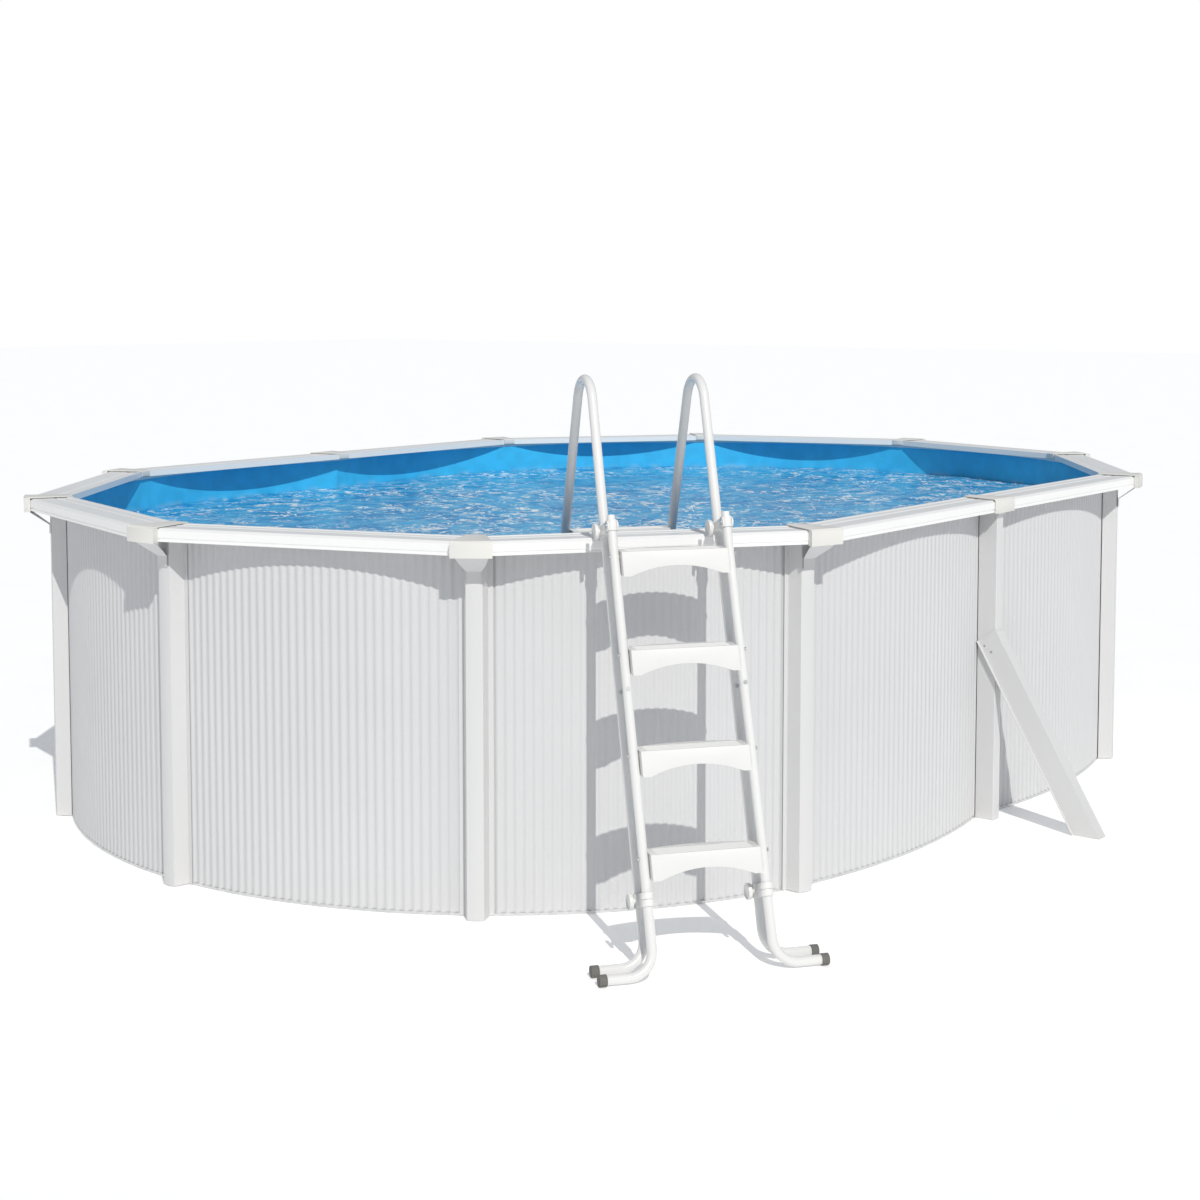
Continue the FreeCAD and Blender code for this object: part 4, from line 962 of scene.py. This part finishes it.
@dataclass
class Ladder:
    """Dressing of the ladder: ribs on each tread."""

    frame: dict
    across: Vector = field(default_factory=Vector)
    front: float = 0.030
    treads: int = 4
    step_depth: float = 0.072
    step_play: float = 0.002
    level_play: float = 0.0005

    def __post_init__(self) -> None:
        """Read the ladder's direction from the fold's axis."""
        fold = next(j for j in self.frame["joints"] if j["name"] == "flight_fold")
        self.across = Vector(fold["axis"]).normalized()

    def tread_frame(self, vertices: list[Vector], inward: bool) -> Matrix:
        """Find the frame at the top of a tread, its Y outward from the tube line.

        Args:
            vertices: The tread's points.
            inward: Whether it belongs to the inner flight.

        Returns:
            The frame.
        """
        sign = -1.0 if inward else 1.0
        side = self.across * sign
        out = Vector((0, 0, 1)).cross(side)
        top = max(v.z for v in vertices)
        flat = [v for v in vertices if v.z > top - self.level_play]
        along = [v.dot(side) for v in flat]
        reach = [v.dot(out) for v in flat]
        middle = (min(along) + max(along)) / 2
        ahead = max(reach) - self.front
        origin = side * middle + out * ahead + Vector((0, 0, top))
        return Matrix((
            (side.x, out.x, 0, origin.x), (side.y, out.y, 0, origin.y),
            (0, 0, 1, origin.z), (0, 0, 0, 1)))

    def build(self, paint: Paint) -> list[bpy.types.Object]:
        """Put ribs on all eight treads.

        Args:
            paint: The finishes.

        Returns:
            The rib pieces.
        """
        pieces = []
        for number in range(1, self.treads + 1):
            mesh = self.frame["nodes"]["outer_step_%d" % number].data
            spot = self.tread_frame([v.co for v in mesh.vertices], inward=False)
            pieces.append(TreadRibs("outer_tread_ribs_%d" % number, Body.FLIGHT.value,
                                    spot).build(paint))
        vertices = [v.co for v in self.frame["nodes"]["inner_steps"].data.vertices]
        top, low = max(v.z for v in vertices), min(v.z for v in vertices)
        pitch = (top - low - self.step_depth) / (self.treads - 1)
        for number in range(self.treads):
            crest = top - number * pitch
            foot = crest - self.step_depth - self.step_play
            own = [v for v in vertices if foot < v.z < crest + self.step_play]
            spot = self.tread_frame(own, inward=True)
            pieces.append(TreadRibs("inner_tread_ribs_%d" % (number + 1), Body.LADDER.value,
                                    spot).build(paint))
        return pieces


SOFTENED: dict[str, float] = {
    "corner_caps": 0.0022, "inner_steps": 0.0013, "foot_caps": 0.0018, "knuckles": 0.0020,
    "latch_sleeves": 0.0018,
}
SOFTENED_STARTS: dict[str, float] = {
    "outer_step": 0.0013, "latch_bracket": 0.0016, "pivot_bracket": 0.0014,
    "latch_knob": 0.0015, "pivot_knob": 0.0015,
}


@dataclass
class CarriedParts:
    """Every CAD node: rounded where it is moulded, otherwise kept and painted."""

    frame: dict

    def radius(self, node: str) -> float:
        """Look up the edge radius of a node.

        Args:
            node: Name of the node.

        Returns:
            Its radius, or nothing where it keeps its own edges.
        """
        if node in SOFTENED:
            return SOFTENED[node]
        return next((r for start, r in SOFTENED_STARTS.items() if node.startswith(start)), 0.0)

    def build(self, paint: Paint) -> int:
        """Dress all the nodes.

        Args:
            paint: The finishes.

        Returns:
            How many nodes were rounded.
        """
        record = self.frame["record"]
        slots = {part["node"]: part["material_slot"] for part in record["subparts"]}
        bodies = record["behaviour"]["bodies"]
        home = {node: body for body, members in bodies.items() for node in members}
        rounded = 0
        for node, slot in slots.items():
            radius = self.radius(node)
            if radius:
                Softened(node, home[node], slot, radius).build(self.frame, paint)
                rounded += 1
            elif node != "wall_sheet":
                paint.dress(self.frame["nodes"][node], slot)
        return rounded


# ---- studio ------------------------------------------------------------------------------


@dataclass
class Studio:
    """Floor, sun, white surroundings and camera."""

    eye: Point = (-6.770, -5.176, 1.969)
    heading: float = 52.06
    pitch: float = 4.3
    lens: float = 60.0
    shift: float = -0.128
    sun_height: float = 42.5
    sun_from: Point = (-0.588, -0.809, 0.0)
    sun_power: float = 2.6
    fill: float = 0.42
    sky: Colour = (0.84, 0.91, 1.0)
    sunlight: Colour = (1.0, 0.972, 0.92)
    backdrop: float = 1.0
    floor_glow: float = 0.16
    floor_reach: float = 60.0
    floor_drop: float = 0.0005
    sun_width: float = 0.5
    sensor: float = 36.0

    def build(self) -> None:
        """Set the whole studio up."""
        self.floor()
        self.sun()
        self.surroundings()
        self.camera()

    def floor(self) -> None:
        """Plain pale floor."""
        reach = self.floor_reach
        floor = mesh_piece("floor", [(-reach, -reach, 0), (reach, -reach, 0), (reach, reach, 0),
                                     (-reach, reach, 0)], [(0, 1, 2, 3)], smooth=False)
        floor.location.z = -self.floor_drop
        finish = Finish("floor_paint", (0.93, 0.93, 0.93), 0.85, streaks=0.0, dust=0.0,
                        splash=0.0)
        material = finish.build()
        shader = material.node_tree.nodes["Principled BSDF"]
        shader.inputs["Emission Color"].default_value = (1.0, 1.0, 1.0, 1.0)
        shader.inputs["Emission Strength"].default_value = self.floor_glow
        floor.data.materials.append(material)

    def sun(self) -> None:
        """Warm sun from the front left, at mid height."""
        light = bpy.data.lights.new("sun", "SUN")
        light.energy = self.sun_power
        light.angle = math.radians(self.sun_width)
        light.color = self.sunlight
        rise = math.radians(self.sun_height)
        flat = Vector(self.sun_from).normalized() * math.cos(rise)
        source = bpy.data.objects.new("sun", light)
        towards = Vector((flat.x, flat.y, math.sin(rise)))
        source.rotation_euler = towards.to_track_quat("Z", "Y").to_euler()
        bpy.context.scene.collection.objects.link(source)

    def surroundings(self) -> None:
        """Pale blue fill light, and pure white where the camera sees past the floor."""
        world = bpy.data.worlds.new("white_room")
        world.use_nodes = True
        nodes = NodeTree(world.node_tree)
        background = world.node_tree.nodes["Background"]
        path = nodes.add("ShaderNodeLightPath")
        tone = nodes.mix(path.outputs["Is Camera Ray"], self.sky, (1.0, 1.0, 1.0))
        nodes.link(tone, background.inputs["Color"])
        extra = nodes.math("MULTIPLY", path.outputs["Is Camera Ray"], self.backdrop - self.fill)
        nodes.link(nodes.math("ADD", extra, self.fill), background.inputs["Strength"])
        bpy.context.scene.world = world

    def camera(self) -> None:
        """Camera at a standing eye height, in front of the ladder."""
        data = bpy.data.cameras.new("camera")
        data.lens = self.lens
        data.sensor_width = self.sensor
        data.shift_y = self.shift
        camera = bpy.data.objects.new("camera", data)
        camera.location = self.eye
        turn = -math.radians(self.heading)
        camera.rotation_euler = (math.radians(90.0 - self.pitch), 0.0, turn)
        bpy.context.scene.collection.objects.link(camera)
        bpy.context.scene.camera = camera
        bpy.context.scene.view_settings.view_transform = "Standard"


def main() -> None:
    """Build every class in order and log the wall, the water, the rib pieces and how many parts
    were rounded.
    """
    logging.basicConfig(level=logging.INFO, format="%(name)s: %(message)s")
    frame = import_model()
    paint = Paint()
    line = WallLine()
    LOG.info("carried parts rounded: %d", CarriedParts(frame).build(paint))
    wall = Wall(line).build(paint)
    LOG.info("%s: %d faces", wall.name, len(wall.data.polygons))
    water = WaterBody(line).build(paint)
    LOG.info("%s: %d faces", water.name, len(water.data.polygons))
    for piece in Ladder(frame).build(paint):
        LOG.info("%s", piece.name)
    Studio().build()


if __name__ == "__main__":
    main()
